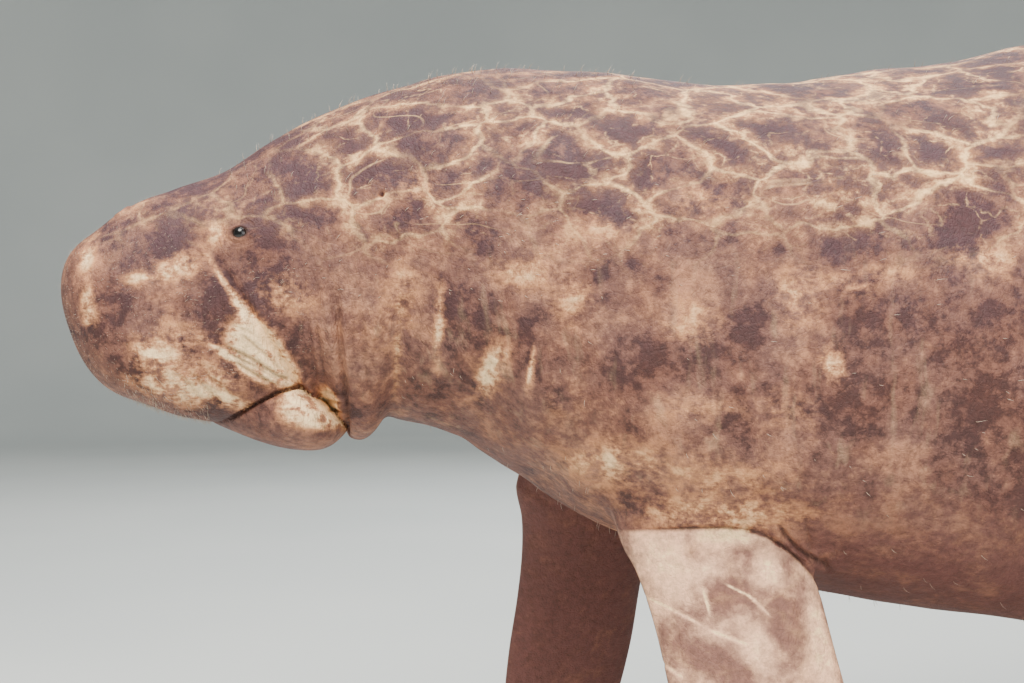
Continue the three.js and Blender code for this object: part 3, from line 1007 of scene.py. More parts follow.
# Each row: x, z, long, high, strength and, where it leans, the tilt in degrees.
DARK_MARKINGS_AND_SHADE = tuple(
    Marking(*row)
    for row in (
        (74, 116, 26, 9, 0.7, 30), (118, 124, 32, 18, 0.8, 18), (103, 90, 26, 12, 0.7, 20),
        (78, 72, 14, 10, 0.6), (158, 40, 27, 30, 1.0, -20), (114, 26, 22, 16, 0.5),
        # The rows at (60, -18), (90, -44) and (150, -72) are painted shade along the lower rim of the upper
        # lip.
        (68, 38, 26, 20, 0.8, -30), (46, 6, 10, 22, 0.7, -20), (60, -18, 26, 10, 0.7, -45),
        (90, -44, 30, 10, 0.6, -30), (150, -72, 50, 9, 1.0, -12), (131, -6, 18, 14, 0.4),
        (193, 61, 20, 26, 0.2), (230, -2, 16, 26, 0.2, -50), (214, 128, 44, 22, 0.6),
        # The row at (206, -44) is a painted shadow above the mouth line.
        (108, 104, 44, 22, 0.5, 20), (206, -44, 26, 10, 0.6, -25), (230, 104, 26, 28, 0.8),
        (256, 156, 32, 16, 0.7, 20), (309, 186, 36, 22, 0.9), (321, 104, 26, 18, 0.8),
        (358, 222, 44, 16, 0.6, 15), (399, 100, 30, 26, 0.9), (444, 230, 46, 20, 0.7),
        (413, 24, 30, 30, 0.8), (456, 150, 30, 28, 0.8), (488, 146, 26, 28, 0.9),
        (538, 145, 34, 28, 1.0), (561, 182, 36, 20, 0.7), (526, 67, 34, 20, 0.6),
        (607, 104, 36, 22, 0.6), (568, 52, 30, 22, 0.6), (556, -22, 44, 26, 1.0),
        (640, 29, 26, 36, 0.8), (640, -36, 40, 34, 0.8), (785, 88, 72, 28, 1.2, -6),
        (771, 153, 50, 22, 0.8), (752, 10, 60, 34, 0.9), (858, 120, 44, 28, 0.9),
        (876, 205, 46, 22, 0.8), (851, -36, 60, 44, 0.9), (780, -60, 50, 30, 0.5),
        (505, -92, 40, 22, 0.5), (386, -52, 22, 20, 0.4), (188, 116, 24, 22, 0.8),
        (619, -208, 15, 12, 0.9), (645, -246, 24, 14, 1.1, 15), (621, -301, 34, 15, 1.2, -20),
        (700, -275, 20, 44, 1.3), (655, -322, 26, 20, 0.8),
    )
)

PALE_MARKINGS_AND_HIGHLIGHTS = tuple(
    Marking(*row)
    for row in (
        # The rows at (35, 84), (36, 42) and (40, 20) are painted highlight down the front of the snout.
        (35, 84, 8, 18, 1.0, -10), (92, 64, 24, 8, 0.9, 12), (125, 72, 22, 14, 0.8, 20),
        (158, 106, 14, 12, 0.8, -60), (36, 42, 8, 16, 0.8), (40, 20, 8, 12, 0.7),
        (100, -14, 24, 14, 0.8, -20), (122, -48, 44, 15, 1.0, -12), (162, -34, 26, 14, 0.6, -20),
        (176, -60, 26, 8, 0.6, -20), (188, 0, 18, 14, 1.5, -45), (208, -20, 26, 15, 1.6, -44),
        (206, 0, 30, 11, 1.5, -54), (228, -34, 14, 9, 1.4, -30), (170, 54, 34, 3.5, 0.9, -58),
        (190, 28, 20, 4.5, 1.2, -52), (449, 67, 32, 20, 0.7), (517, 104, 30, 14, 0.6),
        (609, 132, 32, 14, 0.6), (722, -17, 11, 14, 1.2), (684, -63, 32, 24, 0.4),
        (493, 38, 24, 22, 0.6), (597, 20, 30, 22, 0.7), (597, -62, 42, 16, 0.5),
        (487, -60, 22, 26, 0.3), (560, -118, 64, 26, 0.4), (644, -130, 60, 26, 0.4),
        (690, 40, 24, 40, 0.5), (751, 58, 60, 10, 0.6, 10), (868, 74, 28, 16, 0.8),
        (354, 150, 20, 12, 0.7), (340, 60, 20, 26, 0.4), (423, -28, 13, 30, 1.0, -14),
        (373, 10, 5, 46, 0.7), (335, -10, 4, 50, 0.4), (457, -25, 3, 20, 1.0, -4),
        (175, -17, 28, 4, 1.2, -36), (271, -64, 7, 15, 2.4, 18), (120, 4, 34, 26, 0.5, -20),
        (228, 44, 30, 20, 0.6, -30), (326, 12, 44, 44, 0.3), (528, -118, 40, 24, 0.4),
        (640, -166, 84, 16, 0.7), (653, -190, 34, 9, 1.2), (691, -222, 12, 16, 1.2, 40),
        (590, -214, 20, 26, 0.8), (628, -222, 16, 8, 0.9), (674, -300, 10, 40, 0.8),
        # The row at (735, -300) is a painted sheen along the flipper's trailing edge.
        (735, -300, 10, 60, 1.2, 5),
    )
)


class Wiring:
    """A short hand for placing and joining shader nodes in one node tree."""

    def __init__(self, tree: bpy.types.NodeTree) -> None:
        """Starts on a node tree.

        Args:
            tree: The tree to build in.
        """
        self.tree = tree

    def feed(self, value: object, socket: bpy.types.NodeSocket) -> None:
        """Links an output to a socket, or sets the socket to a plain value."""
        if isinstance(value, bpy.types.NodeSocket):
            self.tree.links.new(value, socket)
        else:
            socket.default_value = value

    def node(self, kind: str, **settings: object) -> bpy.types.Node:
        """Adds a node and sets its properties."""
        made = self.tree.nodes.new(kind)
        for key, value in settings.items():
            setattr(made, key, value)
        return made

    def math(
        self,
        operation: str,
        a: object,
        b: object = 0.0,
        third: float = 0.0,
        clamp: bool = False,
    ) -> object:
        """A Math node.

        Args:
            operation: Its operation.
            a: The first number or output.
            b: The second.
            third: The third number, where the operation takes one.
            clamp: Whether to hold the result between 0 and 1.

        Returns:
            The node's output.
        """
        made = self.node("ShaderNodeMath", operation=operation, use_clamp=clamp)
        self.feed(a, made.inputs[0])
        self.feed(b, made.inputs[1])
        made.inputs[2].default_value = third
        return made.outputs[0]

    def vector(self, operation: str, a: object, b: object) -> object:
        """A Vector Math node, with its vector output."""
        made = self.node("ShaderNodeVectorMath", operation=operation)
        self.feed(a, made.inputs[0])
        self.feed(b, made.inputs[1])
        return made.outputs["Vector"]

    def ramp(self, value: object, low: float, high: float, bottom: float = 0.0, top: float = 1.0) -> object:
        """Eases a value from bottom to top as it goes from low to high.

        Args:
            value: The output to read.
            low: Where the ramp starts.
            high: Where it ends.
            bottom: The result before the start.
            top: The result after the end.

        Returns:
            The node's output.
        """
        made = self.node("ShaderNodeMapRange", interpolation_type="SMOOTHSTEP")
        for number, socket in zip((value, low, high, bottom, top), made.inputs):
            self.feed(number, socket)
        return made.outputs[0]

    def mix(self, factor: object, a: object, b: object, blend: str = "MIX") -> object:
        """A Mix node for colours.

        Args:
            factor: How much of the second colour shows.
            a: The first colour or output.
            b: The second.
            blend: The blend mode.

        Returns:
            The node's colour output.
        """
        made = self.node("ShaderNodeMix", data_type="RGBA", blend_type=blend)
        self.feed(factor, made.inputs[0])
        self.feed(a, made.inputs[6])
        self.feed(b, made.inputs[7])
        return made.outputs[2]

    def noise(self, place: object, scale: float, detail: float = 4.0, roughness: float = 0.55) -> object:
        """A Noise Texture's value.

        Args:
            place: The vector it reads.
            scale: Its scale, in waves per metre.
            detail: How many finer layers it adds.
            roughness: How strong those are.

        Returns:
            The node's value output.
        """
        made = self.node("ShaderNodeTexNoise")
        self.feed(place, made.inputs["Vector"])
        for name, value in (("Scale", scale), ("Detail", detail), ("Roughness", roughness)):
            made.inputs[name].default_value = value
        return made.outputs[0]

    def warped(self, place: object, scale: float, amount: float) -> object:
        """A place pushed about by a coloured noise, so that patterns on it lose their regularity."""
        made = self.node("ShaderNodeTexNoise")
        self.feed(place, made.inputs["Vector"])
        made.inputs["Scale"].default_value = scale
        made.inputs["Detail"].default_value = 3.0
        centred = self.vector("SUBTRACT", made.outputs[1], (0.5, 0.5, 0.5))
        return self.vector("ADD", place, self.vector("MULTIPLY", centred, (amount, amount, amount)))

    def cells(self, place: object, scale: float, feature: str = "DISTANCE_TO_EDGE") -> object:
        """A Voronoi Texture's distance."""
        made = self.node("ShaderNodeTexVoronoi", feature=feature)
        self.feed(place, made.inputs["Vector"])
        made.inputs["Scale"].default_value = scale
        return made.outputs["Distance"]


def new_group(name: str, inputs: tuple, outputs: tuple) -> tuple[bpy.types.NodeTree, Wiring, dict, dict]:
    """An empty shader node group.

    Args:
        name: The group's name.
        inputs: Pairs of socket name and kind, or triples with a default value.
        outputs: Pairs of socket name and kind.

    Returns:
        The group, its wiring, its input values by name and its output sockets by name.
    """
    tree = bpy.data.node_groups.new(name, "ShaderNodeTree")
    kinds = {"float": "NodeSocketFloat", "color": "NodeSocketColor", "vector": "NodeSocketVector"}
    for label, kind, *start in inputs:
        socket = tree.interface.new_socket(label, in_out="INPUT", socket_type=kinds[kind])
        if start:
            socket.default_value = start[0]
    for label, kind in outputs:
        tree.interface.new_socket(label, in_out="OUTPUT", socket_type=kinds[kind])
    wiring = Wiring(tree)
    entry = wiring.node("NodeGroupInput")
    leave = wiring.node("NodeGroupOutput")
    return tree, wiring, {s.name: s for s in entry.outputs}, {s.name: s for s in leave.inputs}


def linear(colour: tuple[int, int, int]) -> tuple[float, float, float, float]:
    """A colour as it is seen on a screen, 0 to 255, turned into light values."""
    parts = [c / 255 for c in colour]
    light = [p / 12.92 if p <= 0.04045 else ((p + 0.055) / 1.055) ** 2.4 for p in parts]
    return (*light, 1.0)


@dataclass(frozen=True)
class HidePalette:
    """The hide's colours and those of its painted caustic light and painted shade, as seen on a screen."""

    dark: tuple = (73, 45, 42)
    violet: tuple = (75, 49, 54)
    middle: tuple = (114, 77, 67)
    light: tuple = (162, 115, 91)
    ochre: tuple = (194, 133, 90)
    cream: tuple = (254, 214, 162)
    # the colour of the painted caustic light on the back
    caustics: tuple = (246, 198, 138)
    # the darker underside, partly the hide's own tone and partly painted shade under the body; also the
    # painted shade on the flippers' inner faces
    belly: tuple = (110, 69, 62)
    # the colour of the painted shade in the creases, slits and mouth line
    crease: tuple = (44, 26, 22)
    flipper: tuple = (128, 89, 77)
    blade_pale: tuple = (240, 187, 150)
    rust: tuple = (1.06, 0.96, 0.84, 1.0)


def hide_markings_group(palette: HidePalette) -> bpy.types.NodeTree:
    """The hide's colour: mottling in three sizes, painted caustic light on the back, and the masks of the
    skin over them, which also carry painted shade and painted highlights.

    Args:
        palette: The colours.

    Returns:
        The node group, with a colour and a roughness output.
    """
    tree, w, given, out = new_group(
        "hide_markings",
        (
            ("Vector", "vector"),
            ("Pale", "float", 0.0),
            ("Dark", "float", 0.0),
            ("Caustics", "float", 0.0),
            ("Crease", "float", 0.0),
            ("Flipper", "float", 0.0),
            ("Belly", "float", 0.0),
            ("Streak", "float", 0.0),
        ),
        (("Color", "color"), ("Roughness", "float")),
    )
    place = w.warped(given["Vector"], 9.0, 0.03)
    patches = w.noise(place, 15.0, 5.0, 0.6)
    clouds = w.noise(place, 42.0, 5.0, 0.65)
    grain = w.noise(given["Vector"], 260.0, 3.0, 0.7)
    marked = w.math("MULTIPLY", w.math("SUBTRACT", given["Pale"], given["Dark"]), 0.17)
    tone = w.math("ADD", marked, w.math("MULTIPLY", patches, 0.9))
    tone = w.math("ADD", tone, w.math("MULTIPLY", clouds, 0.55))
    mottle = w.noise(given["Vector"], 105.0, 5.0, 0.72)
    tone = w.math("ADD", tone, w.math("MULTIPLY_ADD", mottle, 0.48, third=-0.24))
    level = w.node("ShaderNodeSeparateXYZ")
    w.feed(given["Vector"], level.inputs[0])
    dark = w.mix(w.ramp(level.outputs[2], 0.64, 0.84), linear(palette.dark), linear(palette.violet))
    colour = w.mix(w.ramp(tone, 0.54, 0.7), dark, linear(palette.middle))
    colour = w.mix(w.ramp(tone, 0.68, 0.92), colour, linear(palette.light))
    warmth = w.ramp(w.noise(given["Vector"], 21.0, 3.0), 0.35, 0.65)
    colour = w.mix(w.math("MULTIPLY", warmth, 0.8), colour, palette.rust, "MULTIPLY")
    # Darker underside, partly the hide's tone and partly painted shade under the body, and painted shade on
    # the flippers' inner faces
    belly = w.math("MULTIPLY", given["Belly"], w.ramp(clouds, 0.3, 0.65, 1.0, 0.6))
    colour = w.mix(belly, colour, linear(palette.belly))
    shade = w.math("ADD", w.math("MULTIPLY", clouds, 0.45), w.math("MULTIPLY", patches, 0.55))
    shade = w.math("ADD", shade, marked)
    blade = w.mix(w.ramp(shade, 0.36, 0.62), linear(palette.flipper), linear(palette.blade_pale))
    outer = w.math("SUBTRACT", given["Flipper"], given["Belly"], clamp=True)
    colour = w.mix(outer, colour, blade)

    combed = w.noise(w.vector("MULTIPLY", place, (45.0, 90.0, 230.0)), 1.0, 4.0, 0.6)
    broken = w.math("MULTIPLY", clouds, 0.5)
    broken = w.math("ADD", broken, w.math("MULTIPLY", mottle, 0.28))
    broken = w.math("ADD", broken, w.math("MULTIPLY", combed, 0.22))
    flecks = w.ramp(w.math("ADD", broken, marked), 0.56, 0.78)
    flecks = w.math("MULTIPLY", flecks, w.math("MULTIPLY", given["Streak"], 0.75))
    colour = w.mix(flecks, colour, linear(palette.ochre))
    pale = w.math("MULTIPLY", given["Pale"], w.ramp(broken, 0.38, 0.6, 0.15, 1.15))
    fringe = w.math("SUBTRACT", w.ramp(pale, 0.08, 0.6), given["Flipper"], clamp=True)
    colour = w.mix(fringe, colour, linear(palette.ochre))
    colour = w.mix(w.ramp(pale, 0.34, 1.0), colour, linear(palette.cream))

    # Painted caustic light: a network of bright lines and beads with an ochre glow round them, over the
    # upper body
    caustic_place = w.warped(w.vector("MULTIPLY", given["Vector"], (0.7, 1.0, 1.15)), 12.0, 0.05)
    caustic_place = w.warped(w.warped(caustic_place, 48.0, 0.013), 130.0, 0.006)
    wide = w.cells(caustic_place, 16.0)
    fine = w.cells(caustic_place, 36.0)
    present = w.ramp(w.noise(given["Vector"], 13.0, 3.0), 0.36, 0.56, 0.15, 1.0)
    core = w.math("MULTIPLY", w.ramp(wide, 0.0, 0.05, 1.0, 0.0), w.ramp(broken, 0.42, 0.56, 0.3, 1.0))
    beads = w.math("MULTIPLY", w.ramp(wide, 0.02, 0.2, 1.0, 0.0), w.ramp(broken, 0.5, 0.62, 0.0, 0.95))
    caustic_glow = w.math("MULTIPLY", w.ramp(wide, 0.0, 0.26, 1.0, 0.0), w.ramp(clouds, 0.4, 0.62, 0.15, 0.9))
    thin = w.math("MULTIPLY", w.ramp(fine, 0.0, 0.045, 1.0, 0.0), w.ramp(broken, 0.46, 0.6, 0.0, 0.6))
    drawn = w.noise(w.vector("MULTIPLY", place, (5.0, 24.0, 28.0)), 1.0, 0.0)
    strands = w.ramp(w.math("ABSOLUTE", w.math("SUBTRACT", drawn, 0.5)), 0.0, 0.014, 1.0, 0.0)
    strands = w.math("MULTIPLY", strands, w.ramp(patches, 0.46, 0.58, 0.0, 0.5))
    lines = w.math("MAXIMUM", w.math("MAXIMUM", core, beads), w.math("MAXIMUM", strands, thin))
    shown = w.math("MULTIPLY", present, given["Caustics"])
    colour = w.mix(w.math("MULTIPLY", caustic_glow, shown), colour, linear(palette.ochre))
    colour = w.mix(w.math("MULTIPLY", lines, shown), colour, linear(palette.caustics))

    stretch = w.vector("MULTIPLY", place, (64.0, 64.0, 11.0))
    streaks = w.ramp(w.noise(stretch, 1.0, 3.0), 0.55, 0.8)
    streaks = w.math("MULTIPLY", streaks, given["Streak"])
    colour = w.mix(w.math("MULTIPLY", streaks, 0.16), colour, linear(palette.cream))

    # Painted shade: the bottoms of the creases, the slits, the eye openings, the mouth line and the jaw's
    # join darkened towards the crease colour
    colour = w.mix(w.math("MULTIPLY", given["Crease"], 0.85), colour, linear(palette.crease))
    speckle = w.math("ADD", w.ramp(grain, 0.3, 0.7, -0.12, 0.1), w.ramp(mottle, 0.3, 0.7, 0.84, 1.18))
    tinted = w.node("ShaderNodeVectorMath", operation="SCALE")
    w.feed(colour, tinted.inputs[0])
    w.feed(speckle, tinted.inputs["Scale"])
    w.feed(tinted.outputs["Vector"], out["Color"])
    w.feed(w.ramp(w.math("ADD", grain, clouds), 0.7, 1.3, 0.62, 0.8), out["Roughness"])
    return tree


def hide_relief_group() -> bpy.types.NodeTree:
    """The hide's fine relief: leathery cells, pores and wrinkles that run down the flanks."""
    tree, w, given, out = new_group(
        "hide_relief",
        (("Vector", "vector"), ("Wrinkle", "float", 0.5)),
        (("Height", "float"),),
    )
    place = w.warped(given["Vector"], 60.0, 0.006)
    cells = w.ramp(w.cells(place, 210.0), 0.0, 0.16)
    plates = w.ramp(w.cells(place, 75.0), 0.0, 0.1)
    pores = w.noise(given["Vector"], 700.0, 2.0, 0.6)
    stretched = w.vector("MULTIPLY", place, (150.0, 150.0, 26.0))
    folds = w.math("ABSOLUTE", w.math("SUBTRACT", w.noise(stretched, 1.0, 3.0), 0.5))
    folds = w.math("MULTIPLY", w.ramp(folds, 0.0, 0.09), given["Wrinkle"])
    height = w.math("ADD", w.math("MULTIPLY", cells, 0.35), w.math("MULTIPLY", plates, 0.3))
    height = w.math("ADD", height, w.math("MULTIPLY", pores, 0.3))
    w.feed(w.math("ADD", height, folds), out["Height"])
    return tree


class Finish:
    """A material with a Principled shader, its wiring and its object coordinates."""

    def __init__(self, name: str, **settings: object) -> None:
        """Makes the material.

        Args:
            name: The material's name.
            **settings: Values for the shader's own sockets, with spaces written as underscores.
        """
        self.material = bpy.data.materials.new(name)
        self.material.use_nodes = True
        self.wiring = Wiring(self.material.node_tree)
        self.shader = self.material.node_tree.nodes["Principled BSDF"]
        for key, value in settings.items():
            self.shader.inputs[key.replace("_", " ")].default_value = value
        coordinates = self.wiring.node("ShaderNodeTexCoord")
        self.place = coordinates.outputs["Object"]

    def group(self, tree: bpy.types.NodeTree, **values: object) -> bpy.types.Node:
        """Places a node group and feeds its inputs."""
        made = self.wiring.node("ShaderNodeGroup", node_tree=tree)
        for key, value in values.items():
            self.wiring.feed(value, made.inputs[key.replace("_", " ")])
        return made

    def read(self, attribute: str) -> object:
        """The output that reads an attribute of the mesh."""
        made = self.wiring.node("ShaderNodeAttribute", attribute_name=attribute)
        return made.outputs["Fac"]

    def bump(self, height: object, strength: float, distance: float) -> None:
        """Feeds a height to the shader's normal through a Bump node."""
        made = self.wiring.node("ShaderNodeBump")
        made.inputs["Strength"].default_value = strength
        made.inputs["Distance"].default_value = distance
        self.wiring.feed(height, made.inputs["Height"])
        self.wiring.feed(made.outputs["Normal"], self.shader.inputs["Normal"])

    def colour(self, value: object) -> None:
        """Feeds or sets the base colour."""
        self.wiring.feed(value, self.shader.inputs["Base Color"])

    def dress(self, made: bpy.types.Object) -> None:
        """Makes this the object's only material."""
        made.data.materials.clear()
        made.data.materials.append(self.material)


@dataclass(frozen=True)
class HideFinish:
    """The manatee's hide."""

    palette: HidePalette = HidePalette()
    bump_strength: float = 0.55
    bump_depth: float = 0.0016

    def build(self) -> Finish:
        """Makes the material, which reads the skin's masks."""
        finish = Finish("hide", Specular_IOR_Level=0.35)
        masks = ("Pale", "Dark", "Caustics", "Crease", "Flipper", "Belly", "Streak")
        values = {mask: finish.read(mask.lower()) for mask in masks}
        # The group paints the hide's markings together with painted caustic light, painted shade and painted
        # highlights
        marks = finish.group(hide_markings_group(self.palette), Vector=finish.place, **values)
        finish.colour(marks.outputs["Color"])
        finish.wiring.feed(marks.outputs["Roughness"], finish.shader.inputs["Roughness"])
        rough = finish.group(hide_relief_group(), Vector=finish.place, Wrinkle=finish.read("wrinkle"))
        finish.bump(rough.outputs["Height"], self.bump_strength, self.bump_depth)
        return finish


def piece(made: bpy.types.Object, slot: str, *nodes: str) -> None:
    """Hands a finished piece to the frame: it rides on the one body and may stand for CAD nodes."""
    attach(made, "root")
    if nodes:
        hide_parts(*nodes)
    LOG.info("%s: %d faces", made.name, len(made.data.polygons))


@dataclass
class Skin:
    """The one skin over the body, the lower jaw and both flippers."""

    finish: Finish
    jaw_end: float = 400.0
    softness: tuple = ((3, 6), (7, 40))
    seam_width: float = 1.7
    band_shares: tuple = (1.0, 0.45, 0.25)
    mouth_band: float = 8.0
    seam_band: float = 5.5
    crease_band: float = 2.4
    mouth_side: float = 0.9
    seam_side: float = 1.6
    crease_side: float = 1.6
    points: np.ndarray = field(init=False)
    triangles: np.ndarray = field(init=False)
    origin: np.ndarray = field(init=False)
    seam: np.ndarray = field(init=False)

    FLESH = (
        "muzzle",
        "head",
        "lower_jaw",
        "neck",
        "chest",
        "abdomen",
        "tail_stock",
        "tail_paddle",
        "flipper_left",
        "flipper_right",
    )

    def body(self) -> tuple[np.ndarray, np.ndarray]:
        """The body's closed surface: the hide read on a grid of ribs and angles."""
        angle = np.linspace(0, 2 * math.pi, BODY_COLUMNS, endpoint=False)
        t, a = np.meshgrid(body_stations(), angle, indexing="ij")
        return closed_surface(hide_point(t, a))

    def jaw(self) -> tuple[np.ndarray, np.ndarray]:
        """The lower jaw's closed surface, eased at both ends."""
        rows, columns = 44, 72
        u = (1 - np.cos(np.linspace(0, math.pi, rows + 1))) / 2
        angle = np.linspace(0, 2 * math.pi, columns, endpoint=False)
        t, a = np.meshgrid(JAW.last * u, angle, indexing="ij")
        return closed_surface(JAW.point(t, a))

    def join(self) -> None:
        """Unites the parts and tells each point by the part that it came from."""
        parts = [self.body(), self.jaw(), *(flipper.surface() for flipper in FLIPPERS)]
        scaled = [(points * MM, triangles) for points, triangles in parts]
        points, triangles = joined(scaled[0], scaled[1:])
        self.points, self.triangles = points / MM, triangles
        known = {}
        for number, (part, _) in enumerate(scaled):
            keys = np.round(part.astype(np.float32).astype(float), 6)
            known[number] = np.ascontiguousarray(keys).view("f8,f8,f8").ravel()
        keys = np.ascontiguousarray(np.round(points, 6)).view("f8,f8,f8").ravel()
        self.origin = np.full(len(points), -1)
        for number, part in known.items():
            self.origin[np.isin(keys, part)] = number

    def soften_joins(self) -> None:
        """Rounds the lines where the parts meet, over a wider band at the flippers."""
        at_jaw = self.points[:, 0] < self.jaw_end
        for place, (steps, rounds) in zip((at_jaw, ~at_jaw), self.softness):
            weight = spread(place & (self.origin < 0), self.triangles, steps)
            self.points = soften(self.points, self.triangles, weight, rounds)
        self.seam = self.points[at_jaw & (self.origin < 0)]

    def seam_gap(self, place: np.ndarray) -> np.ndarray:
        """How far places lie from the line where the lower jaw meets the head, in millimetres."""
        gap = np.full(len(place), 1e3)
        x, _, z = place.T
        near = np.nonzero((x > 120) & (x < 330) & (z < -20))[0]
        close = place[near]
        square = (close**2).sum(axis=1)[:, None] + (self.seam**2).sum(axis=1)
        square = square - 2 * close @ self.seam.T
        gap[near] = np.sqrt(np.maximum(square.min(axis=1), 0))
        return gap

    def refine_features(self) -> None:
        """Splits the triangles that are too large for the detail near them.

        These lie round the eyes, nostrils and ears, and along the mouth, the jaw's join, the fine
        creases and the pale lines of the flipper. Each level looks at a narrower band than the last.
        """
        spots = (
            (EYE.spot().centre, (34, 18, 12)),
            (NOSTRIL.spot().centre, (26, 21)),
            (hide_spot((EAR.x, EAR.z), (0, 2), 2.4).centre, (12, 6)),
        )
        for level, share in enumerate(self.band_shares):
            middle = left_side(self.points)[self.triangles].mean(axis=1)
            wanted = np.zeros(len(middle), bool)
            for centre, reaches in spots:
                if level < len(reaches):
                    wanted |= np.linalg.norm(middle - centre, axis=1) < reaches[level]
            x, _, z = middle.T
            corners = self.points[self.triangles]
            size = np.linalg.norm(corners[:, 1] - corners[:, 0], axis=1)
            near_mouth = MOUTH.reach(middle)[0] < share * self.mouth_band
            wanted |= near_mouth & (x < MOUTH_REAR) & (z < MOUTH_TOP) & (size > self.mouth_side)
            wanted |= (self.seam_gap(middle) < share * self.seam_band) & (size > self.seam_side)
            for crease in FINE_CREASES + FLIPPER_LINES:
                close = crease.reach(middle)[0] < share * self.crease_band * crease.width
                wanted |= close & (size > self.crease_side * crease.width)
            self.points, self.triangles, parents = refine(self.points, self.triangles, wanted)
            self.origin = np.concatenate([self.origin, self.origin[parents].max(axis=1)])

    def carve_features(self) -> None:
        """Sinks the eye sockets, nostrils, ears, mouth and joins, and raises the lids and rims."""
        x, _, z = self.points.T
        normals = point_normals(self.points, self.triangles)
        fine = EYE.height(self.points) + NOSTRIL.height(self.points) + EAR.height(self.points)
        height = np.where((x < 400) & (z > 40), fine, 0.0)
        height += np.where((x < MOUTH_REAR) & (z < MOUTH_TOP), MOUTH.height(self.points), 0.0)
        for crease in FINE_CREASES:
            height += crease.height(self.points)
        height += self.blade() * sum(line.height(self.points) for line in FLIPPER_LINES)
        height -= 1.5 * hill(self.seam_gap(self.points), self.seam_width)
        self.points = self.points + normals * height[:, None]

    def masks(self) -> dict[str, np.ndarray]:
        """The masks that the hide's material reads, as functions of the place on the animal.

        Returns:
            One array for each mask, by name.
        """
        place = self.points
        x, y, z = place.T
        jaw = spread(self.origin == 1, self.triangles, 2)
        across = point_normals(place, self.triangles)[:, 1] * np.sign(y)
        above_root = smooth(across / 0.3) * smooth(0.5 - below_root(place) / 6)
        blade = self.blade() * (1 - above_root)
        inner = blade * smooth((0.25 - across) / 0.5)
        outer = blade * (1 - clamp01(2 * inner))
        body = 1 - np.maximum(jaw, blade)
        marked = (1 - jaw) * (1 - clamp01(2 * inner))
        pale = sum(marking.value(place) for marking in PALE_MARKINGS_AND_HIGHLIGHTS) * marked
        dark = sum(marking.value(place) for marking in DARK_MARKINGS_AND_SHADE) * marked
        dark = dark + 0.8 * body * smooth((z - 90) / 80) * smooth((x - 60) / 90)
        # Painted highlight: the top of the lower jaw's pad made paler, where the light falls on it
        jaw_top_highlight = smooth((z + 96 + 0.12 * (x - 250)) / 26) * smooth((x - 205) / 40)
        pale = pale + jaw * jaw_top_highlight * 1.6
        pale = pale + outer * sum(1.2 * line.strength(place) for line in FLIPPER_LINES)
        # Painted caustic light over the upper body, fading towards the tail, with a little on the flippers'
        # outer faces
        caustics = body * smooth((z - 60) / 90) * (0.35 + 0.65 * smooth((x - 200) / 120))
        caustics = caustics * (1 - 0.7 * smooth((x - 1000) / 1000))
        # Darker underside: partly the hide's tone, partly painted shade under the body; the flippers' inner
        # faces get it as painted shade
        belly = smooth((-z - 90) / 150) * smooth((x - 480) / 300) + 0.5 * smooth((-z - 60) / 60) * (x < 480)
        return {
            "pale": pale,
            "dark": dark,
            "caustics": caustics + 0.15 * outer,
            "crease": self.crease_shade(place),
            "flipper": blade,
            "belly": np.maximum(clamp01(belly) * (1 - blade), 1.3 * inner),
            "streak": body * smooth((z + 200) / 100) * smooth((120 - z) / 100) * smooth((x - 200) / 80),
            "wrinkle": 0.35 + 0.65 * smooth((520 - x) / 200) * smooth((120 - z) / 120),
        }

    def blade(self) -> np.ndarray:
        """A weight of 1 on the flippers that fades over their roots."""
        parts = [spread(self.origin == number, self.triangles, 2) for number in (2, 3)]
        return np.maximum(*parts)

    def crease_shade(self, place: np.ndarray) -> np.ndarray:
        """The painted shade in the bottoms of the creases, the slits and the lines of the joins: how dark
        each place is.
        """
        x, _, z = place.T
        shade = np.max([crease.strength(place) for crease in RIB_CREASES], axis=0)
        for crease in FINE_CREASES:
            shade = np.maximum(shade, clamp01(0.2 * crease.depth) * crease.strength(place))
        mouth = 0.8 * MOUTH.strength(place) * (x < MOUTH_REAR) * (z < MOUTH_TOP)
        joins = np.where(x < 242, 0.7, 0.4) * hill(self.seam_gap(place), self.seam_width)
        eyes = EYE.opening(place) * (x < 260) * (z > 60)
        return clamp01(np.max([shade, eyes, NOSTRIL.strength(place), mouth, joins], axis=0))

    def build(self) -> bpy.types.Object:
        """Makes the skin and its masks, and hands it over."""
        self.join()
        self.soften_joins()
        self.refine_features()
        self.carve_features()
        made = mesh_object("hide_skin", to_frame(self.points), self.triangles)
        for name, values in self.masks().items():
            set_attribute(made, name, values)
        self.finish.dress(made)
        piece(made, "skin", *self.FLESH)
        return made


@dataclass(frozen=True)
class EyeFinish:
    """A dark wet eye: a near-black pupil in a brown iris."""

    iris: tuple = (44, 26, 18)
    pupil: tuple = (8, 6, 6)
    white: tuple = (96, 72, 62)

    def build(self, centre: np.ndarray, gaze: np.ndarray) -> Finish:
        """Makes the material of one eye.

        Args:
            centre: The ball's centre in the frame.
            gaze: The direction that the eye looks in.

        Returns:
            The finish.
        """
        finish = Finish("eye", Roughness=0.25, Specular_IOR_Level=0.3, Coat_Weight=0.6, Coat_Roughness=0.06)
        w = finish.wiring
        offset = w.vector("SUBTRACT", finish.place, tuple(centre))
        dot = w.node("ShaderNodeVectorMath", operation="DOT_PRODUCT")
        w.feed(offset, dot.inputs[0])
        w.feed(tuple(gaze), dot.inputs[1])
        facing = w.math("DIVIDE", dot.outputs["Value"], EYE.ball * MM)
        streaks = w.noise(offset, 900.0)
        iris = w.mix(w.ramp(streaks, 0.35, 0.65), linear(self.iris), linear(self.pupil))
        colour = w.mix(w.ramp(facing, 0.9, 0.94), iris, linear(self.pupil))
        shown = w.mix(w.ramp(facing, 0.55, 0.66), linear(self.white), colour)
        w.feed(shown, finish.shader.inputs["Base Color"])
        return finish


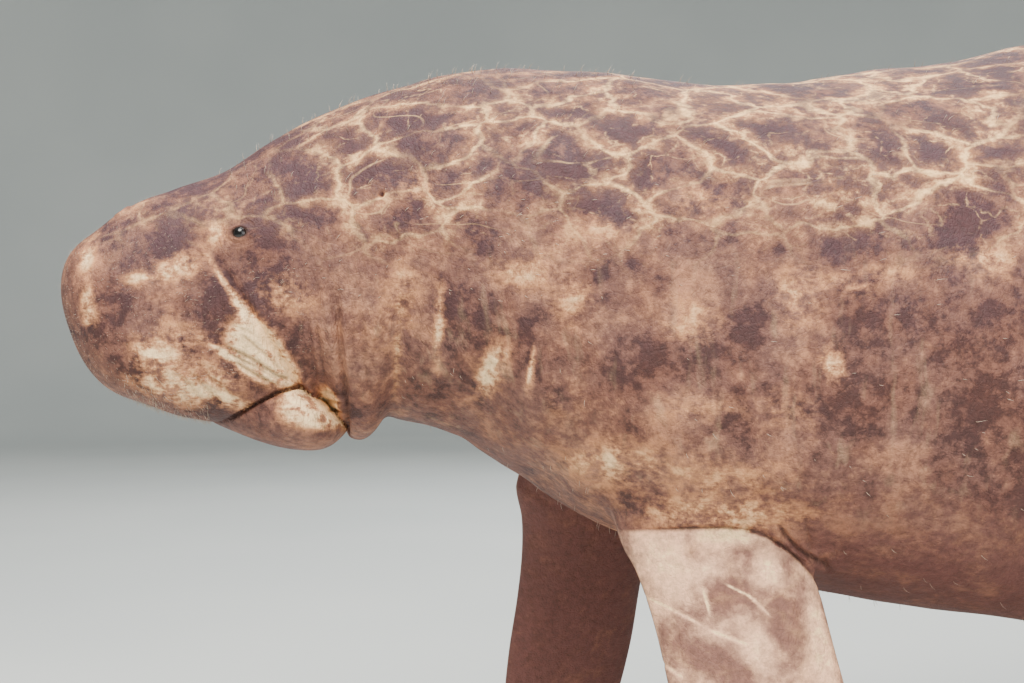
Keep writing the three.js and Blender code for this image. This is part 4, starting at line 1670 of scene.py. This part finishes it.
@dataclass(frozen=True)
class Eyes:
    """The two eyeballs, each with a slightly domed cornea."""

    rows: int = 40
    columns: int = 48
    cornea: float = 0.5

    def ball(self, side: Side) -> tuple[np.ndarray, np.ndarray, np.ndarray, np.ndarray]:
        """One eyeball: a sphere with a low dome towards the lids.

        Args:
            side: Which side of the head.

        Returns:
            Its points and triangles, its centre and its gaze.
        """
        spot = EYE.spot()
        mirror = np.array([1.0, -side.value, 1.0])
        centre = (spot.centre - spot.normal * EYE.sink) * mirror
        axis, rear, up = spot.normal * mirror, spot.rear * mirror, spot.up * mirror
        polar = np.linspace(0, math.pi, self.rows + 1)[:, None]
        turn = np.linspace(0, 2 * math.pi, self.columns, endpoint=False)[None, :]
        radius = EYE.ball + self.cornea * hill(polar, 0.55)
        ring = radius * np.sin(polar)
        grid = (
            centre
            + (radius * np.cos(polar) + 0 * turn)[..., None] * axis
            + (ring * np.cos(turn))[..., None] * rear
            + (ring * np.sin(turn))[..., None] * up
        )
        return *closed_surface(grid), centre, axis

    def build(self) -> None:
        """Makes both eyeballs and hands them over."""
        for side in Side:
            points, triangles, centre, axis = self.ball(side)
            made = mesh_object(f"eyeball_{side.name.lower()}", to_frame(points), triangles)
            EyeFinish().build(to_frame(centre), axis).dress(made)
            piece(made, "eye", f"eye_{side.name.lower()}")


@dataclass(frozen=True)
class HornFinish:
    """Dull horn with fine streaks along it."""

    pale: tuple = (205, 184, 158)
    dark: tuple = (128, 104, 86)

    def build(self) -> Finish:
        """Makes the material."""
        finish = Finish("nail_horn", Roughness=0.45)
        w = finish.wiring
        stretched = w.vector("MULTIPLY", finish.place, (900.0, 900.0, 60.0))
        streaks = w.noise(stretched, 1.0, 3.0)
        finish.colour(w.mix(w.ramp(streaks, 0.35, 0.7), linear(self.pale), linear(self.dark)))
        finish.bump(streaks, 0.3, 0.0006)
        return finish


@dataclass(frozen=True)
class Nails:
    """Small oval nails on the outer face of each flipper, near its tip."""

    count: int = 3
    inset: float = 32.0
    spacing: float = 30.0
    length: float = 21.0
    width: float = 15.0
    proud: float = 2.6
    depth: float = 5.0
    fan: float = 0.3
    rows: int = 24
    columns: int = 32

    def nail(self, flipper: Flipper, number: int) -> tuple[np.ndarray, np.ndarray]:
        """One nail: a flattened superellipsoid, sunk in the blade and thinner at its free edge.

        Args:
            flipper: The flipper that it grows on.
            number: Which nail, from the leading edge.

        Returns:
            Its points and triangles in the animal's own coordinates.
        """
        across = (number - (self.count - 1) / 2) * self.spacing
        tip, before = FLIPPER_RIBS[-1][0], FLIPPER_RIBS[-2][0]
        inset = self.inset + abs(across) * self.fan
        _, middle, half, thick = flipper.section(np.array(flipper.last - inset / (tip - before)))
        face = thick * math.sqrt(1 - (across / half) ** 2)
        polar = np.linspace(0, math.pi, self.rows + 1)[:, None]
        turn = np.linspace(0, 2 * math.pi, self.columns, endpoint=False)[None, :]
        along = -np.cos(polar) + 0 * turn
        ring = np.sin(polar) ** 0.8
        local = np.stack(
            [
                middle + across + self.width / 2 * ring * np.cos(turn),
                flipper.side.value * (face + self.proud - self.depth)
                + self.depth * ring * np.sin(turn) * (1 - 0.12 * along),
                inset - tip - self.length / 2 * along,
            ],
            axis=-1,
        )
        return closed_surface(flipper.out(local))

    def build(self) -> None:
        """Makes every nail and hands it over."""
        finish = HornFinish().build()
        for flipper in FLIPPERS:
            side = flipper.side.name.lower()
            for number in range(self.count):
                points, triangles = self.nail(flipper, number)
                made = mesh_object(f"horn_nail_{side}_{number + 1}", to_frame(points), triangles)
                finish.dress(made)
                piece(made, "nail", f"nail_{side}_{number + 1}")


@dataclass(frozen=True)
class SteelFinish:
    """Brushed steel, with the brushing round the rod."""

    colour: tuple = (176, 178, 180)

    def build(self) -> Finish:
        """Makes the material."""
        finish = Finish("brushed_steel", Metallic=1.0)
        w = finish.wiring
        stretched = w.vector("MULTIPLY", finish.place, (30.0, 30.0, 1400.0))
        brush = w.noise(stretched, 1.0, 3.0)
        smudge = w.noise(finish.place, 22.0, 3.0)
        dull = tuple(0.72 * c for c in linear(self.colour)[:3]) + (1.0,)
        finish.colour(w.mix(w.ramp(smudge, 0.3, 0.7), linear(self.colour), dull))
        w.feed(w.ramp(w.math("ADD", brush, smudge), 0.7, 1.3, 0.24, 0.42), finish.shader.inputs["Roughness"])
        finish.bump(brush, 0.25, 0.0003)
        return finish


@dataclass(frozen=True)
class PaintFinish:
    """Satin dark grey paint with a faint orange-peel surface and paler worn edges."""

    colour: tuple = (52, 54, 57)
    worn: tuple = (104, 102, 98)

    def build(self) -> Finish:
        """Makes the material."""
        finish = Finish("satin_paint", Specular_IOR_Level=0.45)
        w = finish.wiring
        peel = w.noise(finish.place, 420.0, 2.0)
        dust = w.noise(finish.place, 5.0, 6.0, 0.65)
        shade = w.mix(w.ramp(dust, 0.35, 0.75), linear(self.colour), linear((66, 67, 69)))
        edge = finish.read("edge")
        scuffs = w.math("MULTIPLY", edge, w.ramp(w.noise(finish.place, 60.0, 5.0, 0.7), 0.5, 0.64))
        finish.colour(w.mix(scuffs, shade, linear(self.worn)))
        w.feed(w.ramp(dust, 0.3, 0.75, 0.38, 0.55), finish.shader.inputs["Roughness"])
        finish.bump(peel, 0.12, 0.0004)
        return finish


def lathe(profile: tuple, columns: int, centre: tuple[float, float]) -> tuple[np.ndarray, np.ndarray]:
    """A turned solid: each profile point goes once round an upright axis.

    Args:
        profile: Pairs of radius and height in millimetres, from the foot up.
        columns: How many points go round.
        centre: The axis's x and y.

    Returns:
        Its points and triangles in the frame's millimetres.
    """
    radius, height = np.array(profile, float).T
    turn = np.linspace(0, 2 * math.pi, columns, endpoint=False)[None, :]
    grid = np.stack(
        [
            centre[0] + radius[:, None] * np.cos(turn),
            centre[1] + radius[:, None] * np.sin(turn),
            height[:, None] + 0 * turn,
        ],
        axis=-1,
    )
    return closed_surface(grid)


def rounded_edge(radius: float, height: float, fillet: float, steps: int = 5) -> list:
    """Profile points round a convex top edge that ends at a radius and a height."""
    turn = np.linspace(0, math.pi / 2, steps)
    return [(radius - fillet + fillet * math.cos(a), height - fillet + fillet * math.sin(a)) for a in turn]


@dataclass(frozen=True)
class Stand:
    """The plain display stand: a flat base and two rods with screwed collars."""

    length: float = 1240.0
    width: float = 620.0
    height: float = 36.0
    corner: float = 90.0
    bevel: float = 5.0
    rod_radius: float = 24.0
    rod_x: tuple = (-150.0, 500.0)
    collar_radius: float = 58.0
    collar_height: float = 14.0
    screws: int = 4

    def base(self) -> tuple[np.ndarray, np.ndarray]:
        """The base: an edge profile carried round a rectangle with round corners.

        Each profile point is a distance in from the outline and a height. The outline's corners are
        quarter circles, and the outline shrinks towards the middle to close the two faces.

        Returns:
            Its points and triangles in the frame's millimetres.
        """
        steps = 14
        corners = ((1, -1, -90), (1, 1, 0), (-1, 1, 90), (-1, -1, 180))
        directions, anchors = [], []
        for sx, sy, start in corners:
            turn = np.radians(start + np.linspace(0, 90, steps))
            directions.append(np.stack([np.cos(turn), np.sin(turn)], 1))
            anchor = (sx * (self.length / 2 - self.corner), sy * (self.width / 2 - self.corner))
            anchors.append(np.tile(anchor, (steps, 1)))
        direction, anchor = np.concatenate(directions), np.concatenate(anchors)
        turn = np.linspace(0, math.pi / 2, 6)
        low = [(self.bevel * (1 - math.sin(a)), self.bevel * (1 - math.cos(a))) for a in turn]
        high = [(inset, self.height - z) for inset, z in reversed(low)]
        profile = [*low, *high, (14.0, self.height)]
        rings = [anchor + direction * (self.corner - inset) for inset, _ in profile]
        grid = [np.column_stack([ring, np.full(len(ring), z)]) for ring, (_, z) in zip(rings, profile)]
        bottom = np.tile([0.0, 0.0, 0.0], (len(direction), 1))
        top = np.tile([0.0, 0.0, self.height], (len(direction), 1))
        return closed_surface(np.stack([bottom, *grid, top]))

    def rod(self, x: float, top: float) -> tuple[np.ndarray, np.ndarray]:
        """A rod with its collar.

        Args:
            x: Where it stands along the base.
            top: The height that it reaches.

        Returns:
            Its points and triangles in the frame's millimetres.
        """
        foot = self.height + 0.3
        collar = foot + self.collar_height
        fillet = 6.0
        turn = np.linspace(0, math.pi / 2, 6)
        throat = [
            (self.rod_radius + fillet * (1 - math.sin(a)), collar + fillet * (1 - math.cos(a)))
            for a in turn
        ]
        profile = [
            (0, foot),
            (self.collar_radius - 1, foot),
            (self.collar_radius, foot + 1),
            *rounded_edge(self.collar_radius, collar, 3.0),
            *throat,
            (self.rod_radius, top),
            (0, top),
        ]
        return lathe(tuple(profile), 64, (x, 0.0))

    def screw_heads(self, x: float) -> tuple[np.ndarray, np.ndarray]:
        """The domed screw heads on one collar, joined in one mesh."""
        top = self.height + 0.3 + self.collar_height
        points, triangles, count = [], [], 0
        for k in range(self.screws):
            turn = math.pi / 4 + k * 2 * math.pi / self.screws
            ring = (self.collar_radius + self.rod_radius) / 2 + 4
            centre = (x + ring * math.cos(turn), ring * math.sin(turn))
            profile = (
                *((0, top - 1), (6.5, top - 1), (6.5, top + 1.6), (5.2, top + 3)),
                *((2.8, top + 3.4), (2.6, top + 1), (0, top + 1)),
            )
            more, faces = lathe(profile, 24, centre)
            points.append(more)
            triangles.append(faces + count)
            count += len(more)
        return np.concatenate(points), np.concatenate(triangles)

    def belly(self, x: float) -> float:
        """The height of the belly over a place on the base, in the frame's millimetres."""
        t = np.linspace(8, 24, 1601)
        under = BODY.point(t, np.full(t.shape, math.pi))
        return AXIS_Z + float(np.interp(x - SNOUT_X, under[:, 0], under[:, 2]))

    def build(self) -> None:
        """Makes the stand's pieces and hands them over."""
        points, triangles = self.base()
        made = mesh_object("stand_board", points * MM, triangles)
        inset = np.minimum(self.length / 2 - np.abs(points[:, 0]), self.width / 2 - np.abs(points[:, 1]))
        rim = smooth((7 - inset) / 5) * smooth((points[:, 2] - self.height + 9) / 6)
        set_attribute(made, "edge", rim)
        PaintFinish().build().dress(made)
        self.flatten(made)
        piece(made, "board", "stand_base")
        steel = SteelFinish().build()
        for name, x in zip(("front", "rear"), self.rod_x):
            embed = 10.0
            points, triangles = self.rod(x, self.belly(x) + embed)
            rod = mesh_object(f"stand_post_{name}", points * MM, triangles)
            steel.dress(rod)
            self.flatten(rod)
            piece(rod, "rod", f"stand_rod_{name}")
            points, triangles = self.screw_heads(x)
            heads = mesh_object(f"stand_screws_{name}", points * MM, triangles)
            steel.dress(heads)
            self.flatten(heads)
            piece(heads, "rod")

    def flatten(self, made: bpy.types.Object) -> None:
        """Shades the sharp turns of a turned or bevelled piece as edges."""
        limit = math.radians(38)
        made.data.set_sharp_from_angle(angle=limit)


@dataclass(frozen=True)
class HairFinish:
    """Pale, stiff hair."""

    tip: tuple = (232, 216, 192)
    root: tuple = (156, 122, 102)

    def build(self) -> Finish:
        """Makes the material, paler towards the tips."""
        finish = Finish("hair", Roughness=0.5, Specular_IOR_Level=0.4)
        w = finish.wiring
        patch = w.ramp(w.noise(finish.place, 40.0, 2.0), 0.35, 0.65, 0.8, 1.1)
        shade = w.mix(finish.read("along"), linear(self.root), linear(self.tip))
        tinted = w.node("ShaderNodeVectorMath", operation="SCALE")
        w.feed(shade, tinted.inputs[0])
        w.feed(patch, tinted.inputs["Scale"])
        finish.colour(tinted.outputs["Vector"])
        return finish


@dataclass(frozen=True)
class HairPatch:
    """Single hairs over a stretch of the body, each a thin, bent, tapered tube of three sides."""

    name: str
    count: int
    ribs: tuple[float, float]
    length: tuple[float, float]
    radius: float
    lean: float
    seed: int
    low_z: float = -1e9
    high_z: float = 1e9
    segments: int = 3

    def roots(self, rng: np.random.Generator) -> tuple[np.ndarray, np.ndarray]:
        """Draws root places evenly over the hide's area.

        Args:
            rng: The seeded source of the draws.

        Returns:
            The rib coordinate and the angle of each root.
        """
        tries = self.count * 14
        t = rng.uniform(*self.ribs, tries)
        angle = rng.uniform(0, 2 * math.pi, tries)
        step = 0.01
        here = BODY.point(t, angle)
        along = BODY.point(t + step, angle) - here
        around = BODY.point(t, angle + step) - here
        area = np.linalg.norm(np.cross(around, along), axis=1)
        keep = rng.uniform(0, np.quantile(area, 0.98), tries) < area
        keep &= (here[:, 2] > self.low_z) & (here[:, 2] < self.high_z)
        keep &= self.clear(here)
        chosen = np.nonzero(keep)[0][: self.count]
        return t[chosen], angle[chosen]

    def clear(self, place: np.ndarray) -> np.ndarray:
        """Which places are clear of the eyes, nostrils, ears, jaw and flippers."""
        mirrored = left_side(place)
        free = np.linalg.norm(mirrored - EYE.spot().centre, axis=1) > 24
        free &= np.linalg.norm(mirrored - NOSTRIL.spot().centre, axis=1) > 20
        free &= ~((place[:, 0] > 150) & (place[:, 0] < 300) & (place[:, 2] < -30))
        for flipper in FLIPPERS:
            local = flipper.inward(place)
            inside = (np.abs(local[:, 1]) < 60) & (np.abs(local[:, 0]) < 110) & (local[:, 2] < 20)
            free &= ~inside
        return free

    def build(self, finish: Finish) -> None:
        """Makes the patch.

        Each hair's line starts a little under the hide and bends rearwards as the square of the
        way along it. Rings of three points follow the line and close at a tip.

        Args:
            finish: The hair's material.
        """
        rng = np.random.default_rng(self.seed)
        t, angle = self.roots(rng)
        count = len(t)
        root = hide_point(t, angle)
        normal = BODY.normal(t, angle)
        rear = BODY.point(t + 0.02, angle) - BODY.point(t, angle)
        rear /= np.linalg.norm(rear, axis=1, keepdims=True)
        side = np.cross(normal, rear)
        swing = rng.normal(0, 0.35, (count, 1))
        lie = rear * np.cos(swing) + side * np.sin(swing)
        length = rng.uniform(*self.length, (count, 1))
        lean = self.lean * rng.uniform(0.3, 1.5, (count, 1))
        steps = np.linspace(0, 1, self.segments + 1)
        sink = 1.6
        rings = []
        for s in steps:
            rise = normal * (length * s * (1 - 0.35 * lean * s) - sink)
            line = root + rise + lie * length * lean * s * s
            width = self.radius * (1 - s) ** 0.7 if s < 1 else 0.0
            for k in range(3):
                turn = 2 * math.pi * k / 3
                rings.append(line + width * (math.cos(turn) * side + math.sin(turn) * rear))
        points = np.stack(rings[:-2], axis=1)
        per_hair = points.shape[1]
        faces = []
        for ring in range(self.segments - 1):
            for k in range(3):
                a, b = 3 * ring + k, 3 * ring + (k + 1) % 3
                faces += [(a, b, b + 3), (a, b + 3, a + 3)]
        top = 3 * (self.segments - 1)
        faces += [(top + k, top + (k + 1) % 3, per_hair - 1) for k in range(3)]
        faces.append((2, 1, 0))
        triangles = (np.arange(count)[:, None, None] * per_hair + np.array(faces)[None]).reshape(-1, 3)
        made = mesh_object(self.name, to_frame(points.reshape(-1, 3)), triangles)
        along = np.repeat(steps, 3)[:per_hair]
        set_attribute(made, "along", np.tile(along, count))
        self.lay_out(made, t, angle, np.tile(along, count), per_hair)
        finish.dress(made)
        piece(made, "skin")

    def lay_out(
        self,
        made: bpy.types.Object,
        t: np.ndarray,
        angle: np.ndarray,
        along: np.ndarray,
        per_hair: int,
    ) -> None:
        """Gives the hairs their place on an unwrap of the hide: ribs one way, angle the other.

        Args:
            made: The mesh of hairs.
            t: The rib coordinate of each root.
            angle: The angle of each root.
            along: How far along its hair each point lies.
            per_hair: How many points a hair has.
        """
        patch = 0.003
        u = np.repeat(0.01 + 0.97 * t / BODY.last, per_hair) + patch * along
        corner = np.tile(np.arange(per_hair) % 3 / 2, len(t))
        v = np.repeat(0.01 + 0.97 * angle / (2 * math.pi), per_hair) + patch * corner
        loops = np.empty(len(made.data.loops), np.int32)
        made.data.loops.foreach_get("vertex_index", loops)
        layer = made.data.uv_layers.new(name="OFBake")
        layer.uv.foreach_set("vector", np.column_stack([u, v])[loops].astype(np.float32).ravel())


HAIR_PATCHES = (
    HairPatch("hair_neck", 460, (4.5, 12), (7, 13), 0.4, 0.5, seed=11, low_z=40),
    HairPatch("hair_trunk", 1500, (9, 26), (6, 12), 0.36, 0.6, seed=12),
    HairPatch("bristles_face", 2600, (0.1, 3.4), (3, 6), 0.17, 0.6, seed=13),
    HairPatch("bristles_lip", 480, (1.0, 3.8), (5, 10), 0.28, 0.7, seed=15, high_z=-30),
    HairPatch("bristles_cheek", 360, (2.8, 6.5), (3, 6), 0.2, 0.8, seed=14, high_z=80),
)


@dataclass(frozen=True)
class Studio:
    """A pale floor that curves up into a round backdrop, with soft light and the photo's camera."""

    floor_radius: float = 8.0
    wall_radius: float = 11.0
    wall_height: float = 9.0
    rings: int = 40
    columns: int = 96

    def backdrop(self) -> None:
        """A bowl: a flat disc, a quarter ellipse up from it and a short upright wall."""
        flat = np.linspace(0, self.floor_radius, 6)
        turn = np.linspace(0, math.pi / 2, self.rings)[1:]
        radius = self.floor_radius + (self.wall_radius - self.floor_radius) * np.sin(turn)
        height = (self.wall_radius - self.floor_radius) * (1 - np.cos(turn))
        profile_r = np.concatenate([flat, radius, [self.wall_radius]])
        profile_z = np.concatenate([np.zeros(6), height, [self.wall_height]])
        angle = np.linspace(0, 2 * math.pi, self.columns, endpoint=False)
        grid = np.stack(
            [
                profile_r[:, None] * np.cos(angle),
                profile_r[:, None] * np.sin(angle),
                profile_z[:, None] + 0 * angle,
            ],
            axis=-1,
        )
        rows = len(profile_r)
        ring = np.arange(rows * self.columns).reshape(rows, self.columns)
        turned = np.roll(ring, -1, axis=1)
        a, b = ring[:-1].ravel(), ring[1:].ravel()
        c, d = turned[1:].ravel(), turned[:-1].ravel()
        triangles = np.concatenate([np.stack([a, b, c], 1), np.stack([a, c, d], 1)[self.columns :]])
        made = mesh_object("backdrop", grid.reshape(-1, 3), triangles)
        finish = Finish("backdrop", Roughness=0.9)
        w = finish.wiring
        tone = w.noise(finish.place, 0.6, 2.0)
        finish.colour(w.mix(w.ramp(tone, 0.3, 0.7), linear((196, 200, 198)), linear((204, 207, 204))))
        finish.dress(made)

    def light(self, name: str, spot: tuple, aim: tuple, size: float, power: float, tint: tuple) -> None:
        """A large soft lamp.

        Args:
            name: Its name.
            spot: Where it hangs.
            aim: What it points at.
            size: The side of its square face.
            power: Its power in watts.
            tint: Its colour.
        """
        data = bpy.data.lights.new(name, "AREA")
        data.size = size
        data.energy = power
        data.color = tint
        made = bpy.data.objects.new(name, data)
        made.location = spot
        direction = Vector(aim) - Vector(spot)
        made.rotation_euler = direction.to_track_quat("-Z", "Y").to_euler()
        bpy.context.scene.collection.objects.link(made)

    def world(self, strength: float) -> None:
        """An even, pale sky that fills the shadows."""
        made = bpy.data.worlds.new("studio")
        made.use_nodes = True
        sky = made.node_tree.nodes["Background"]
        sky.inputs["Color"].default_value = (0.86, 0.92, 0.95, 1.0)
        sky.inputs["Strength"].default_value = strength
        bpy.context.scene.world = made

    def camera(self) -> None:
        """The photo's camera: level with the animal's axis and turned a little towards its tail."""
        data = bpy.data.cameras.new("camera")
        data.lens = LENS
        data.sensor_width = SENSOR
        data.sensor_fit = "HORIZONTAL"
        made = bpy.data.objects.new("camera", data)
        made.location = np.array([SNOUT_X + CAMERA_BEHIND_SNOUT, -CAMERA_DISTANCE, AXIS_Z]) * MM
        made.rotation_euler = (math.pi / 2, 0.0, -CAMERA_TURN)
        bpy.context.scene.collection.objects.link(made)
        bpy.context.scene.camera = made

    def build(self) -> None:
        """Makes the camera, the lights, the sky and the backdrop."""
        self.camera()
        self.world(0.5)
        self.light("key", (-2.2, -2.8, 4.4), (-0.6, 0.0, 0.7), 2.6, 450.0, (1.0, 0.96, 0.9))
        self.light("top", (0.2, 0.3, 4.8), (0.0, 0.0, 0.7), 3.4, 240.0, (1.0, 0.98, 0.95))
        self.light("fill", (1.2, -4.6, 1.8), (0.0, 0.0, 0.6), 3.0, 95.0, (0.98, 0.98, 1.0))
        self.light("back", (1.0, 4.4, 3.4), (0.0, 0.0, 0.7), 3.0, 130.0, (0.96, 0.98, 1.0))
        self.backdrop()


def main() -> None:
    """Loads the frame and builds every piece round it."""
    logging.basicConfig(level=logging.INFO, format="%(name)s: %(message)s")
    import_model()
    Studio().build()
    Skin(HideFinish().build()).build()
    Eyes().build()
    Nails().build()
    Stand().build()
    hair = HairFinish().build()
    for patch in HAIR_PATCHES:
        patch.build(hair)


if __name__ == "__main__":
    main()
